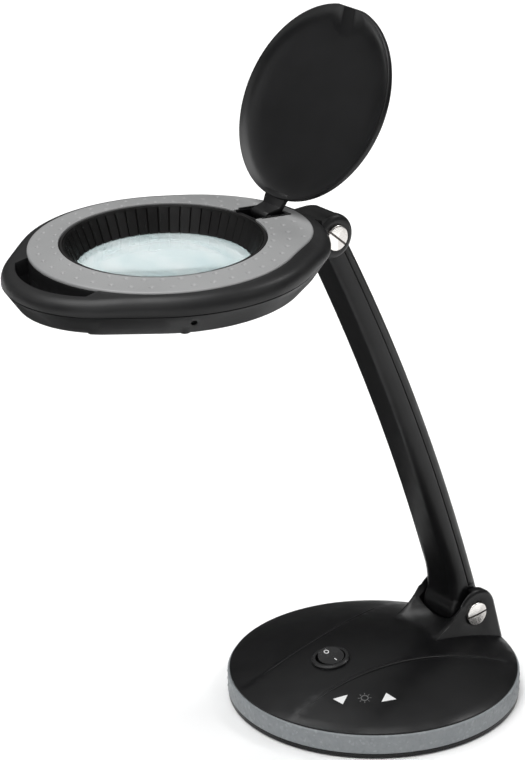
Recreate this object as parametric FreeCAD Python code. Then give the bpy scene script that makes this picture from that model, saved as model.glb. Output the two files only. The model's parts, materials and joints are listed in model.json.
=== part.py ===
import FreeCAD, Part
import math
import os

# A desk magnifying lamp: weighted round base, curved arm, round lamp head with a lens and a lid.
# Frame: origin on the table under the middle of the base, +Z up, the user sits at -Y,
# and the hinge axes of arm, head and lid run along X.

V = FreeCAD.Vector
ORIGIN = V(0, 0, 0)
ALONG_X = V(1, 0, 0)
ALONG_Z = V(0, 0, 1)

# ---- driving dimensions, millimetres and degrees ----
# base
BASE_RADIUS = 89.0
BASE_RIM_HEIGHT = 16.4
BASE_APEX_HEIGHT = 33.0
BASE_COVER_RADIUS = 87.5
BASE_SKIRT_RADIUS = 86.6
BASE_WALL = 2.4
BAND_BOTTOM = 3.2
BAND_TOP = 15.4
BOTTOM_COVER_RADIUS = 88.3
BOTTOM_COVER_LOW = 0.8
PAD_INNER_RADIUS = 62.0
PAD_OUTER_RADIUS = 82.0
PAD_TOP = 1.6
BALLAST_RADIUS = 62.0
BALLAST_THICKNESS = 6.0
BASE_SCREW_CIRCLE = 73.0
CREASE_RADIUS = 288.0
CREASE_NEAREST_X = 23.0
CREASE_NEAREST_Y = -65.0
CREASE_RISE = 0.8

# hinges
BASE_PIVOT_Y = 64.2
BASE_PIVOT_Z = 38.6
HEAD_PIVOT_Y = -45.4
HEAD_PIVOT_Z = 308.5
HINGE_SCREW_RADIUS = 3.0
RUNNING_CLEARANCE = 0.05
SCREW_HEAD_RADIUS = 7.5
SCREW_HEAD_THICKNESS = 2.6
SCREW_HEAD_OUTER_X = 22.8
HEAD_SLOT_ANGLE = 139.0
BASE_SLOT_ANGLE = 6.0
NUT_ACROSS_FLATS = 10.0
NUT_THICKNESS = 4.4
NUT_START_X = 16.3
INSERT_RADIUS = 3.9
INSERT_END_X = 18.4
WASHER_RADIUS = 8.5
BUSH_RADIUS = 4.5
SMALL_BUSH_RADIUS = 4.0
CHEEK_OUTER_X = 21.0
YOKE_LEFT_X = 19.0
CHEEK_INNER_X = 15.5

# yoke on the base
YOKE_TOP_RADIUS = 15.4
YOKE_CENTRE_Y = 65.3
YOKE_CENTRE_Z = 38.0
YOKE_TIP_Y = 30.2
YOKE_TIP_Z = 30.4
YOKE_REAR_Y = 87.1
YOKE_EDGE_RADIUS = 2.6
TROUGH_RADIUS = 14.3

# arm
ARM_WIDTH = 30.0
ARM_DEPTH_LOW = 17.6
ARM_DEPTH_HIGH = 15.4
ARM_CORNER_RADIUS = 7.0
ARM_ROOT_CORNER_RADIUS = 5.0
ARM_ROOT_LENGTH = 30.0
ARM_ROOT_GROWTH = 6.6
ARM_REAR_GROWTH = 0.5
ARM_ROOT_DRAW = 0.9
ARM_SEAM_OFFSET = 0.4
SEAM_GROOVE = 0.8
SEAM_GROOVE_DEPTH = 0.8
ARM_WALL = 2.4
ARM_ARC_RADIUS = 1500.0
ARM_OFFSET_MID = 10.2
ARM_BARREL_LOW = 13.5
ARM_BARREL_HIGH = 10.2
ARM_BARREL_TAPER = [(0.0, 10.2), (-5.0, 9.3), (-10.0, 7.7), (-15.0, 5.4)]
ARM_END_GAP = 6.0
SEAM_GAP = 0.04

# head, in its own frame: origin in the middle of the opening at the trim ring's inner edge
HEAD_TILT = 1.06
HEAD_PIVOT_BACK = 104.3
HEAD_PIVOT_DOWN = 20.0
HEAD_CIRCLES = [(-35.0, 60.0), (2.4, 83.6), (25.0, 72.0)]
HEAD_BOTTOM = -26.8
HEAD_TAPER = 9.3
HEAD_FOOT_RADIUS = 4.0
HEAD_SEAM = -13.0
HEAD_WALL = 2.2
HEAD_EDGE_RADIUS = 7.5
RING_CIRCLES = [(0.0, 74.5), (28.0, 58.4)]
RING_INNER_RADIUS = 57.2
RING_THICKNESS = 1.8
RING_SLOPE = 8.5
SLOT_CENTRE_Y = -35.0
SLOT_RADIUS = 52.0
SLOT_HALF_WIDTH = 33.0
HOOD_RADIUS = 13.2
HOOD_SHAVE_RADIUS = 40.0
HOOD_SHAVE_X = 6.0
HOOD_EDGE_RADIUS = 3.5
HOOD_GAP = 0.4
HOOD_FRONT_ANGLE = -11.0
HOOD_FRONT_OFFSET = 7.2
HOOD_REAR_ANGLE = 164.0
SCALLOP_RADIUS = 7.0
LENS_RADIUS = 50.0
LENS_VISIBLE_RADIUS = 48.7
LENS_SURFACE_RADIUS = 346.0
LENS_EDGE_TOP = -15.2
LENS_EDGE_BOTTOM = -17.5
LED_COUNT = 30
LED_CIRCLE = 61.0
LED_BOARD_RADIUS = 67.4
DIFFUSER_RADIUS = 68.0
HEAD_SCREW_CIRCLE = 71.6
VENT_AZIMUTH = -25.0
VENT_HEIGHT = -19.0
VENT_RADIUS = 1.7

# lid, described closed in the head's frame
LID_RADIUS = 57.2
LID_FLAT = 56.3
LID_RIM_LOW = 0.4
LID_CENTRE_UNDERSIDE = 4.5
LID_BOWL_RADIUS = 56.4
LID_BOWL_POWER = 14
SCOOP_INCLINE = 15.1
SCOOP_RADIUS = 62.0
SCOOP_TIP_Y = -41.5
SCOOP_TIP_Z = 4.4
LID_HINGE_Y = 68.6
LID_HINGE_Z = -3.0
LID_OPEN_ANGLE = 120.0
LID_PIN_RADIUS = 1.25
LID_KNUCKLE_RADIUS = 2.9
LID_KNUCKLE_HALF_WIDTH = 6.7
POCKET_HALF_WIDTH = 8.4
POCKET_BODY_FRONT = 58.0
POCKET_CUT_GAP = 0.6
POCKET_FRONT = 59.4
POCKET_REAR = 77.4
POCKET_WALL = 1.6
POCKET_DEPTH = -6.6

# rocker switch and touch marks on the base
SWITCH_Y = -33.5
SWITCH_FLANGE_RADIUS = 11.8
SWITCH_BODY_RADIUS = 9.9
SWITCH_BODY_DEPTH = 13.0
ROCKER_RADIUS = 7.9
ROCKER_GAP = 1.2
ROCKER_TILT = 11.0
ROCKER_AXIS_DEPTH = -1.0
MARK_X = 42.6
MARK_Y = -42.5
MARK_AZIMUTH = 51.5
MARK_DEPTH = 0.35

# inlet
SOCKET_AZIMUTH = 118.0
SOCKET_HEIGHT = 9.3
SOCKET_NOSE_RADIUS = 3.9

BASE_PIVOT = V(0, BASE_PIVOT_Y, BASE_PIVOT_Z)
HEAD_PIVOT = V(0, HEAD_PIVOT_Y, HEAD_PIVOT_Z)
HEAD_LOCAL_PIVOT = V(0, HEAD_PIVOT_BACK, -HEAD_PIVOT_DOWN)
LID_HINGE = V(0, LID_HINGE_Y, LID_HINGE_Z)


# ---- helpers ----
def cylinder(radius, start, end):
    """A round bar between two points."""
    along = end - start
    return Part.makeCylinder(radius, along.Length, start, along)


def bar_along_x(radius, half_width, centre):
    return cylinder(radius, centre - V(half_width, 0, 0), centre + V(half_width, 0, 0))


def tube(inner, outer, low, high):
    """A ring about Z between two heights."""
    outside = cylinder(outer, V(0, 0, low), V(0, 0, high))
    return outside.cut(cylinder(inner, V(0, 0, low - 1), V(0, 0, high + 1)))


def block(low, high):
    size = high - low
    return Part.makeBox(size.x, size.y, size.z, low)


def turned(profile):
    """A closed (radius, height) outline turned about Z."""
    points = [V(r, 0, z) for r, z in profile]
    face = Part.Face(Part.makePolygon(points + [points[0]]))
    return face.revolve(ORIGIN, ALONG_Z, 360)


def side_prism(outline, half_width):
    """A (y, z) outline made solid across X."""
    points = [V(-half_width, y, z) for y, z in outline]
    face = Part.Face(Part.makePolygon(points + [points[0]]))
    return face.extrude(V(2 * half_width, 0, 0))


def polar(radius, degrees, height=0.0):
    angle = math.radians(degrees)
    return V(radius * math.cos(angle), radius * math.sin(angle), height)


def fused(shapes):
    whole = shapes[0]
    for shape in shapes[1:]:
        whole = whole.fuse(shape)
    return whole.removeSplitter()


def in_head(shape):
    """Carry a shape from the head's own frame to its place on the lamp at rest."""
    turn = FreeCAD.Rotation(ALONG_X, HEAD_TILT)
    origin = HEAD_PIVOT - turn.multVec(HEAD_LOCAL_PIVOT)
    placed = shape.copy()
    placed.Placement = FreeCAD.Placement(origin, turn).multiply(placed.Placement)
    return placed


def opened_lid(shape):
    """Swing a shape from the closed lid to the open lid."""
    opened = shape.copy()
    opened.rotate(LID_HINGE, ALONG_X, -LID_OPEN_ANGLE)
    return opened


def filleted(shape, radius, wanted):
    edges = [edge for edge in shape.Edges if wanted(edge)]
    return shape.makeFillet(radius, edges)


# ---- base ----
def dome_height(radius):
    drop = (BASE_APEX_HEIGHT - BASE_RIM_HEIGHT) * (radius / BASE_COVER_RADIUS) ** 2
    return BASE_APEX_HEIGHT - drop


def dome(apex, rim_radius, rim_height, floor):
    """A solid under a shallow spherical cap."""
    mid = rim_radius / 2
    sag = apex - rim_height
    sphere_radius = (rim_radius ** 2 + sag ** 2) / (2 * sag)
    mid_height = apex - sphere_radius + math.sqrt(sphere_radius ** 2 - mid ** 2)
    cap = Part.Arc(V(0, 0, apex), V(mid, 0, mid_height), V(rim_radius, 0, rim_height))
    rest = Part.makePolygon([V(rim_radius, 0, rim_height), V(rim_radius, 0, floor), V(0, 0, floor), V(0, 0, apex)])
    face = Part.Face(Part.Wire([cap.toShape()] + rest.Edges))
    return face.revolve(ORIGIN, ALONG_Z, 360)


def yoke_block():
    """Side outline of the yoke: concave front ridge, round top, straight rear edge."""
    def on_top(degrees):
        return V(0, YOKE_CENTRE_Y, YOKE_CENTRE_Z) + V(0, *list(polar(YOKE_TOP_RADIUS, degrees))[:2])

    ridge_top, crown, rear_top = on_top(140), on_top(75), on_top(10)
    tip = V(0, YOKE_TIP_Y, YOKE_TIP_Z)
    foot = V(0, YOKE_REAR_Y, BASE_RIM_HEIGHT)
    ridge = Part.Arc(tip, V(0, 41.5, 35.4), ridge_top).toShape()
    top = Part.Arc(ridge_top, crown, rear_top).toShape()
    sill = BAND_TOP + 0.05
    under = [rear_top, foot, V(0, foot.y, sill), V(0, 81.0, sill), V(0, 79.0, 8), V(0, YOKE_TIP_Y, 24), tip]
    outline = Part.Wire([ridge, top] + Part.makePolygon(under).Edges)
    outline.translate(V(-YOKE_LEFT_X, 0, 0))
    solid = Part.Face(outline).extrude(V(YOKE_LEFT_X + CHEEK_OUTER_X, 0, 0))

    def rim(edge):
        middle = edge.CenterOfMass
        on_side = min(abs(middle.x - CHEEK_OUTER_X), abs(middle.x + YOKE_LEFT_X)) < 0.01
        return on_side and middle.z > 25 and middle.y > 50
    return filleted(solid, YOKE_EDGE_RADIUS, rim)


def yoke_scoop():
    """The hollow between the two front ridges, deepening towards the arm."""
    left_x, right_x = 1.3 - YOKE_LEFT_X, CHEEK_OUTER_X - 1.3
    ceiling = 70.0
    sections = [(27.0, 30.0, 29.9), (36.0, 32.6, 30.4), (44.0, 37.6, 31.9), (51.0, 44.2, 33.9), (62.0, 57.0, 38.0)]
    wires = []
    for y, edge_height, mid_height in sections:
        left, right = V(left_x, y, edge_height), V(right_x, y, edge_height)
        arc = Part.Arc(left, V(0, y, mid_height), right).toShape()
        cap = Part.makePolygon([right, V(right_x, y, ceiling), V(left_x, y, ceiling), left])
        wires.append(Part.Wire([arc] + cap.Edges))
    return Part.makeLoft(wires, True, True)


def switch_place():
    """Where the switch sits: on the dome, square to its surface."""
    slope = 2 * (BASE_APEX_HEIGHT - BASE_RIM_HEIGHT) * abs(SWITCH_Y) / BASE_COVER_RADIUS ** 2
    seat = V(0, SWITCH_Y, dome_height(abs(SWITCH_Y)) + CREASE_RISE * 0.85)
    return FreeCAD.Placement(seat, FreeCAD.Rotation(ALONG_X, math.degrees(math.atan(slope))))


def placed(shape, placement):
    moved = shape.copy()
    moved.Placement = placement.multiply(moved.Placement)
    return moved


def base_screw_spots():
    return [polar(BASE_SCREW_CIRCLE, degrees) for degrees in (35, 145, 215, 325)]


def dome_skin():
    """The outer layer of the dome that the touch marks are let into."""
    outer = dome(BASE_APEX_HEIGHT, BASE_COVER_RADIUS, BASE_RIM_HEIGHT, 0)
    inner = dome(BASE_APEX_HEIGHT - MARK_DEPTH, BASE_COVER_RADIUS, BASE_RIM_HEIGHT - MARK_DEPTH, -1)
    return outer.cut(inner)


def mark_prism(points):
    """An outline in the touch marks' own row frame, as an upright prism."""
    turn = FreeCAD.Rotation(ALONG_Z, MARK_AZIMUTH)
    corners = [turn.multVec(V(x, y, 0)) + V(MARK_X, MARK_Y, 5) for x, y in points]
    return Part.Face(Part.makePolygon(corners + [corners[0]])).extrude(V(0, 0, 40))


def arrow_mark(direction):
    """A triangle pointing away from the sun; the two arrows are turned half a turn apart."""
    corners = [(18.7, -1.0), (12.9, 4.2), (9.9, -3.4)]
    return mark_prism([(direction * x, direction * y) for x, y in corners]).common(dome_skin())


def sun_mark():
    disc_outer, disc_inner, ray_start, ray_end, ray_half = 2.3, 1.8, 2.9, 4.0, 0.22
    centre = V(MARK_X, MARK_Y, 5)
    ring = cylinder(disc_outer, centre, centre + V(0, 0, 40)).cut(
        cylinder(disc_inner, centre - V(0, 0, 1), centre + V(0, 0, 41)))
    pieces = [ring]
    for index in range(8):
        ray = block(V(ray_start, -ray_half, 5), V(ray_end, ray_half, 45))
        ray.rotate(ORIGIN, ALONG_Z, 45.0 * index + MARK_AZIMUTH)
        ray.translate(V(MARK_X, MARK_Y, 0))
        pieces.append(ray)
    return Part.makeCompound(pieces).common(dome_skin())


def socket_place():
    """The inlet's frame: +X points out of the base, at the height of the band."""
    return FreeCAD.Placement(V(0, 0, SOCKET_HEIGHT), FreeCAD.Rotation(ALONG_Z, SOCKET_AZIMUTH))


def socket_nose(radius):
    return placed(cylinder(radius, V(70, 0, 0), V(BASE_RADIUS, 0, 0)), socket_place())


def dc_socket():
    body = block(V(70, -4.5, -5.0), V(84.0, 4.5, 4.6))
    nose = cylinder(SOCKET_NOSE_RADIUS - 0.1, V(80, 0, 0), V(BASE_RADIUS - 0.3, 0, 0))
    bore = cylinder(2.8, V(76, 0, 0), V(BASE_RADIUS + 1, 0, 0))
    pin = cylinder(1.0, V(75, 0, 0), V(BASE_RADIUS - 1.5, 0, 0))
    return placed(body.fuse(nose).cut(bore).fuse(pin), socket_place())


def base_top_cover():
    outer = dome(BASE_APEX_HEIGHT, BASE_COVER_RADIUS, BASE_RIM_HEIGHT, BAND_TOP)
    panel = dome(BASE_APEX_HEIGHT + CREASE_RISE, 84.0, dome_height(84.0), BAND_TOP)
    for side in (-1, 1):
        centre = V(side * (CREASE_NEAREST_X + CREASE_RADIUS), CREASE_NEAREST_Y, 0)
        panel = panel.cut(cylinder(CREASE_RADIUS, centre, centre + V(0, 0, 60)))
    skirt = tube(BASE_SKIRT_RADIUS - BASE_WALL, BASE_SKIRT_RADIUS, BAND_BOTTOM, BAND_TOP + 0.5)
    hollow = dome(BASE_APEX_HEIGHT - BASE_WALL, BASE_SKIRT_RADIUS - BASE_WALL, BAND_TOP - BASE_WALL, -1)
    posts = []
    for spot in base_screw_spots():
        posts.append(cylinder(4.0, V(spot.x, spot.y, BAND_BOTTOM), V(spot.x, spot.y, 19)))
    cover = fused([outer.fuse(panel).cut(hollow), skirt] + posts)
    cover = cover.fuse(yoke_block().cut(yoke_scoop()))

    cover = cover.cut(bar_along_x(TROUGH_RADIUS, CHEEK_INNER_X, BASE_PIVOT))
    above = block(V(-CHEEK_INNER_X, BASE_PIVOT_Y - TROUGH_RADIUS, BASE_PIVOT_Z),
                  V(CHEEK_INNER_X, BASE_PIVOT_Y + 30, BASE_PIVOT_Z + 30))
    cover = cover.cut(above)
    cover = cover.cut(hinge_holes(BASE_PIVOT))
    cover = cover.cut(placed(cylinder(SWITCH_BODY_RADIUS, V(0, 0, -20), V(0, 0, 8)), switch_place()))
    for spot in base_screw_spots():
        cover = cover.cut(cylinder(1.5, V(spot.x, spot.y, 0), V(spot.x, spot.y, 14)))
    for mark in (arrow_mark(1), arrow_mark(-1), sun_mark()):
        cover = cover.cut(mark)
    return cover.cut(socket_nose(SOCKET_NOSE_RADIUS))


def base_trim_band():
    inside = BASE_SKIRT_RADIUS + 0.1
    profile = [(inside, BAND_BOTTOM), (BASE_RADIUS - 0.5, BAND_BOTTOM), (BASE_RADIUS, BAND_BOTTOM + 1.0),
               (BASE_RADIUS, BAND_TOP - 0.9), (BASE_RADIUS - 0.7, BAND_TOP), (inside, BAND_TOP)]
    return turned(profile).cut(socket_nose(SOCKET_NOSE_RADIUS))


def base_bottom_cover():
    plate = cylinder(BOTTOM_COVER_RADIUS, V(0, 0, BOTTOM_COVER_LOW), V(0, 0, BAND_BOTTOM))
    inside = BASE_SKIRT_RADIUS - BASE_WALL - 0.1
    spigot = tube(inside - 2.0, inside, BAND_BOTTOM, BAND_BOTTOM + 2.6)
    plate = plate.fuse(spigot).cut(tube(PAD_INNER_RADIUS, PAD_OUTER_RADIUS, -1, PAD_TOP))
    socket_room = placed(block(V(69, -5, -7), V(85, 5, 6)), socket_place())
    plate = plate.cut(socket_room)
    for spot in base_screw_spots():
        plate = plate.cut(cylinder(1.6, V(spot.x, spot.y, -1), V(spot.x, spot.y, 6)))
    return plate.removeSplitter()


def base_screws():
    """Four self-tapping screws whose heads sit under the non-slip ring's holes."""
    screws = []
    for spot in base_screw_spots():
        shank = cylinder(1.5, V(spot.x, spot.y, 1.6), V(spot.x, spot.y, 12))
        head = cylinder(2.8, V(spot.x, spot.y, 0.4), V(spot.x, spot.y, 1.6))
        recess = block(V(spot.x - 1.8, spot.y - 0.3, 0), V(spot.x + 1.8, spot.y + 0.3, 0.9))
        screws.append(shank.fuse(head).cut(recess).removeSplitter())
    return Part.makeCompound(screws)


def non_slip_ring():
    pad = tube(PAD_INNER_RADIUS + 0.1, PAD_OUTER_RADIUS - 0.1, 0, PAD_TOP)
    for spot in base_screw_spots():
        pad = pad.cut(cylinder(3.4, V(spot.x, spot.y, -1), V(spot.x, spot.y, 5)))
    return pad


def ballast_plate():
    plate = cylinder(BALLAST_RADIUS, V(0, 0, BAND_BOTTOM), V(0, 0, BAND_BOTTOM + BALLAST_THICKNESS))
    return plate.cut(cylinder(6, V(0, 0, 0), V(0, 0, 20)))


def touch_board():
    """A small sensor board hung from the dome under the three marks."""
    turn = FreeCAD.Rotation(ALONG_Z, MARK_AZIMUTH)
    board_height = 15.0
    board = block(V(-22, -6, 0), V(22, 6, 1.6))
    posts = [cylinder(1.6, V(x, 0, 1.6), V(x, 0, 4.0)) for x in (-19.5, 19.5)]
    whole = fused([board] + posts)
    return placed(whole, FreeCAD.Placement(V(MARK_X * 0.86, MARK_Y * 0.86, board_height), turn))


def driver_board():
    board = block(V(-56, 2, 12.2), V(-18, 32, 13.8))
    spacers = []
    for x in (-53, -21):
        for y in (5, 29):
            spacers.append(cylinder(2.0, V(x, y, BAND_BOTTOM + BALLAST_THICKNESS), V(x, y, 12.2)))
    return fused([board] + spacers)


def driver_components():
    """Capacitor, coil, controller chip and a wire header standing on the driver board."""
    low = 13.8
    capacitor = cylinder(4.0, V(-48, 24, low), V(-48, 24, low + 7.5))
    coil = tube(2.0, 4.5, low, low + 4)
    coil.translate(V(-34, 24, 0))
    chip = block(V(-40, 8, low), V(-32, 13, low + 1.6))
    header = block(V(-27, 6, low), V(-21.5, 16, low + 6))
    return Part.makeCompound([capacitor, coil, chip, header])


def switch_housing():
    flange = turned([(ROCKER_RADIUS + ROCKER_GAP, -1), (SWITCH_FLANGE_RADIUS, -1), (SWITCH_FLANGE_RADIUS, 0.9),
                     (SWITCH_FLANGE_RADIUS - 0.9, 1.7), (ROCKER_RADIUS + ROCKER_GAP, 1.7)])
    body = cylinder(SWITCH_BODY_RADIUS, V(0, 0, -SWITCH_BODY_DEPTH), V(0, 0, 0.5))
    recess = cylinder(ROCKER_RADIUS + ROCKER_GAP, V(0, 0, -6.5), V(0, 0, 5))
    trunnions = cylinder(1.2 + RUNNING_CLEARANCE, V(0, -9.6, ROCKER_AXIS_DEPTH), V(0, 9.6, ROCKER_AXIS_DEPTH))
    # the flange's underside follows the dome, so it is trimmed to stay above it
    housing = placed(flange.fuse(body).cut(recess).cut(trunnions), switch_place())
    cap = dome(BASE_APEX_HEIGHT + CREASE_RISE, 84.0, dome_height(84.0), 0)
    ring = tube(SWITCH_BODY_RADIUS, SWITCH_FLANGE_RADIUS + 1, -8, 8)
    return housing.cut(cap.common(placed(ring, switch_place()))).removeSplitter()


def switch_terminals():
    tabs = []
    for y in (-4.0, 4.0):
        tab = block(V(-2.4, y - 0.4, -SWITCH_BODY_DEPTH - 6), V(2.4, y + 0.4, -SWITCH_BODY_DEPTH))
        tabs.append(placed(tab, switch_place()))
    return Part.makeCompound(tabs)


def rocker_tilt_place():
    """The rocker's rest place: its right-hand side is pressed in."""
    axis_point = V(0, 0, ROCKER_AXIS_DEPTH)
    turn = FreeCAD.Rotation(V(0, 1, 0), ROCKER_TILT)
    tilt = FreeCAD.Placement(axis_point - turn.multVec(axis_point), turn)
    return switch_place().multiply(tilt)


def rocker_solid():
    top = 3.4
    body = cylinder(ROCKER_RADIUS, V(0, 0, -3.2), V(0, 0, top))
    valley_drop = ROCKER_RADIUS * math.tan(math.radians(ROCKER_TILT)) * 0.6
    valley = [(-12, top + 5), (-12, top), (0, top - valley_drop), (12, top), (12, top + 5)]
    points = [V(x, -12, z) for x, z in valley]
    groove = Part.Face(Part.makePolygon(points + [points[0]])).extrude(V(0, 24, 0))
    trunnion = cylinder(1.2, V(0, -9.4, ROCKER_AXIS_DEPTH), V(0, 9.4, ROCKER_AXIS_DEPTH))
    return body.cut(groove).fuse(trunnion).removeSplitter()


def rocker_mark_prisms():
    """A ring on the raised side and a bar on the pressed side, as upright prisms."""
    ring = tube(1.0, 1.6, -1, 6)
    ring.translate(V(-4.2, 0, 0))
    bar = block(V(3.2, -0.3, -1), V(5.6, 0.3, 6))
    return Part.makeCompound([ring, bar])


def rocker_marks():
    skin = rocker_solid()
    lower = skin.copy()
    lower.translate(V(0, 0, -0.25))
    return placed(rocker_mark_prisms().common(skin.cut(lower)), rocker_tilt_place())


def switch_rocker():
    lower = rocker_solid()
    lower.translate(V(0, 0, -0.25))
    return placed(rocker_solid(), rocker_tilt_place()).cut(rocker_marks())


# ---- hinges ----
def hexagon(across_flats, start, length):
    """A hexagonal bar along -X from a start point."""
    corner = across_flats / math.sqrt(3)
    points = [start + V(0, corner * math.cos(math.radians(60 * i)), corner * math.sin(math.radians(60 * i)))
              for i in range(6)]
    return Part.Face(Part.makePolygon(points + [points[0]])).extrude(V(-length, 0, 0))


def hinge_holes(centre):
    """Through hole, head seat at +X and nut pocket at -X, as one cutter."""
    hole = bar_along_x(HINGE_SCREW_RADIUS + 0.1, 40, centre)
    seat_x = SCREW_HEAD_OUTER_X - SCREW_HEAD_THICKNESS
    seat = cylinder(SCREW_HEAD_RADIUS + 0.2, centre + V(seat_x, 0, 0), centre + V(40, 0, 0))
    pocket = hexagon(NUT_ACROSS_FLATS + 0.2, centre - V(NUT_START_X, 0, 0), 20)
    return hole.fuse(seat).fuse(pocket)


def insert_holes(centre):
    """Blind hole with a head seat at +X and room for a threaded insert in the -X cheek, as one cutter."""
    hole = cylinder(HINGE_SCREW_RADIUS + 0.1, centre - V(INSERT_END_X, 0, 0), centre + V(40, 0, 0))
    seat_x = SCREW_HEAD_OUTER_X - SCREW_HEAD_THICKNESS
    seat = cylinder(SCREW_HEAD_RADIUS + 0.2, centre + V(seat_x, 0, 0), centre + V(40, 0, 0))
    room = cylinder(INSERT_RADIUS + 0.02, centre - V(INSERT_END_X, 0, 0), centre - V(CHEEK_INNER_X - 1, 0, 0))
    return hole.fuse(seat).fuse(room)


def threaded_insert(centre):
    outer = cylinder(INSERT_RADIUS, centre - V(INSERT_END_X, 0, 0), centre - V(CHEEK_INNER_X, 0, 0))
    return outer.cut(bar_along_x(HINGE_SCREW_RADIUS, 40, centre))


def hinge_screw(centre, slot_angle, shank_end_x):
    seat_x = SCREW_HEAD_OUTER_X - SCREW_HEAD_THICKNESS
    head = cylinder(SCREW_HEAD_RADIUS, V(seat_x, 0, 0), V(SCREW_HEAD_OUTER_X, 0, 0))
    head = filleted(head, 0.9, lambda edge: abs(edge.CenterOfMass.x - SCREW_HEAD_OUTER_X) < 0.01)
    slot = block(V(SCREW_HEAD_OUTER_X - 1.1, -10, -0.7), V(SCREW_HEAD_OUTER_X + 1, 10, 0.7))
    slot.rotate(ORIGIN, ALONG_X, slot_angle)
    shank = cylinder(HINGE_SCREW_RADIUS, V(-shank_end_x, 0, 0), V(seat_x, 0, 0))
    screw = head.fuse(shank).cut(slot).removeSplitter()
    screw.translate(centre)
    return screw


def hinge_nut(centre):
    start = centre - V(NUT_START_X, 0, 0)
    nut = hexagon(NUT_ACROSS_FLATS, start, NUT_THICKNESS)
    return nut.cut(bar_along_x(HINGE_SCREW_RADIUS, 40, centre))


def hinge_washers(centre, left_radius):
    washers = []
    for side, radius in ((-1, left_radius), (1, WASHER_RADIUS)):
        near, far = side * (ARM_WIDTH / 2), side * (CHEEK_INNER_X - 0.06)
        disc = cylinder(radius, centre + V(near, 0, 0), centre + V(far, 0, 0))
        washers.append(disc.cut(bar_along_x(HINGE_SCREW_RADIUS + 0.3, 40, centre)))
    return Part.makeCompound(washers)


def hinge_bush(centre, radius):
    outer = bar_along_x(radius, ARM_WIDTH / 2, centre)
    return outer.cut(bar_along_x(HINGE_SCREW_RADIUS + RUNNING_CLEARANCE, 40, centre))


# ---- arm ----
def arm_arc():
    """Centre of the arm's arc, and the unit vectors along its chord and towards its rear."""
    chord = HEAD_PIVOT - BASE_PIVOT
    along = V(chord).normalize()
    rear = V(0, along.z, -along.y)
    middle = (HEAD_PIVOT + BASE_PIVOT) * 0.5
    centre = middle + rear * (ARM_OFFSET_MID - ARM_ARC_RADIUS)
    return centre, along, rear, chord.Length


def arm_rear_growth(fraction):
    """The rear face swells a little in the middle of the arm and draws in at its root."""
    along = fraction * (HEAD_PIVOT - BASE_PIVOT).Length
    root = max(0.0, 1 - along / ARM_ROOT_LENGTH)
    return ARM_REAR_GROWTH * min(1.0, 3 * (1 - fraction), 2 * fraction) - ARM_ROOT_DRAW * root


def arm_section(fraction, inset):
    """A rounded rectangular section of the arm; near the base it thickens forwards into the hinge barrel."""
    centre, along, rear, length = arm_arc()
    distance = (fraction - 0.5) * length
    angle = math.asin(distance / ARM_ARC_RADIUS)
    outward = rear * math.cos(angle) + along * math.sin(angle)
    middle = centre + outward * ARM_ARC_RADIUS
    depth = ARM_DEPTH_LOW + (ARM_DEPTH_HIGH - ARM_DEPTH_LOW) * fraction
    root = max(0.0, 1 - fraction * length / ARM_ROOT_LENGTH)
    rear_depth = depth / 2 + arm_rear_growth(fraction) - inset
    front_depth = depth / 2 + ARM_ROOT_GROWTH * root ** 2 - inset
    half_x = ARM_WIDTH / 2 - inset
    corner = ARM_CORNER_RADIUS + (ARM_ROOT_CORNER_RADIUS - ARM_CORNER_RADIUS) * root
    radius = corner - inset

    def at(x, d):
        return middle + V(x, 0, 0) + outward * d
    edges = []
    diagonal = radius * (1 - math.sqrt(0.5))
    for sx, sd in ((1, 1), (-1, 1), (-1, -1), (1, -1)):
        reach = rear_depth if sd > 0 else front_depth
        first, last = at(sx * half_x, sd * (reach - radius)), at(sx * (half_x - radius), sd * reach)
        mid = at(sx * (half_x - diagonal), sd * (reach - diagonal))
        if sx * sd < 0:
            first, last = last, first
        edges.append(Part.Arc(first, mid, last).toShape())
    outline = []
    for index, edge in enumerate(edges):
        following = edges[(index + 1) % len(edges)]
        outline.append(edge)
        outline.append(Part.makeLine(edge.lastVertex(True).Point, following.firstVertex(True).Point))
    return Part.Wire(outline)


def arm_loft(inset, low_gap, high_gap):
    """The arm's body between two distances from the hinge axes: the thickened root and the long part."""
    length = arm_arc()[3]

    def stretch(start, stop, steps):
        stations = [start + (stop - start) * index / steps for index in range(steps + 1)]
        wires = [arm_section(station / length, inset) for station in stations]
        return Part.makeLoft(wires, True, False)
    return stretch(low_gap, ARM_ROOT_LENGTH, 3).fuse(stretch(ARM_ROOT_LENGTH, length - high_gap, 6))


def arm_low_barrel():
    barrel = bar_along_x(ARM_BARREL_LOW, ARM_WIDTH / 2, BASE_PIVOT)
    return filleted(barrel, 4.5, lambda edge: edge.Curve.TypeId == "Part::GeomCircle")


def tapered_barrel(grow, centre):
    """The upper knuckle: a cylinder that narrows in steps towards its -X end."""
    half = ARM_WIDTH / 2 + (CHEEK_INNER_X - ARM_WIDTH / 2 if grow else 0)
    slope_end = ARM_BARREL_TAPER[-1][1] + grow
    profile = [(half, 0), (half, ARM_BARREL_HIGH + grow)]
    profile += [(x, r + grow) for x, r in ARM_BARREL_TAPER]
    if grow:
        profile.append((-half, slope_end))
    profile.append((profile[-1][0], 0))
    points = [V(x, r, 0) for x, r in profile]
    knuckle = Part.Face(Part.makePolygon(points + [points[0]])).revolve(ORIGIN, ALONG_X, 360)
    knuckle.translate(centre)
    return knuckle


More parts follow.
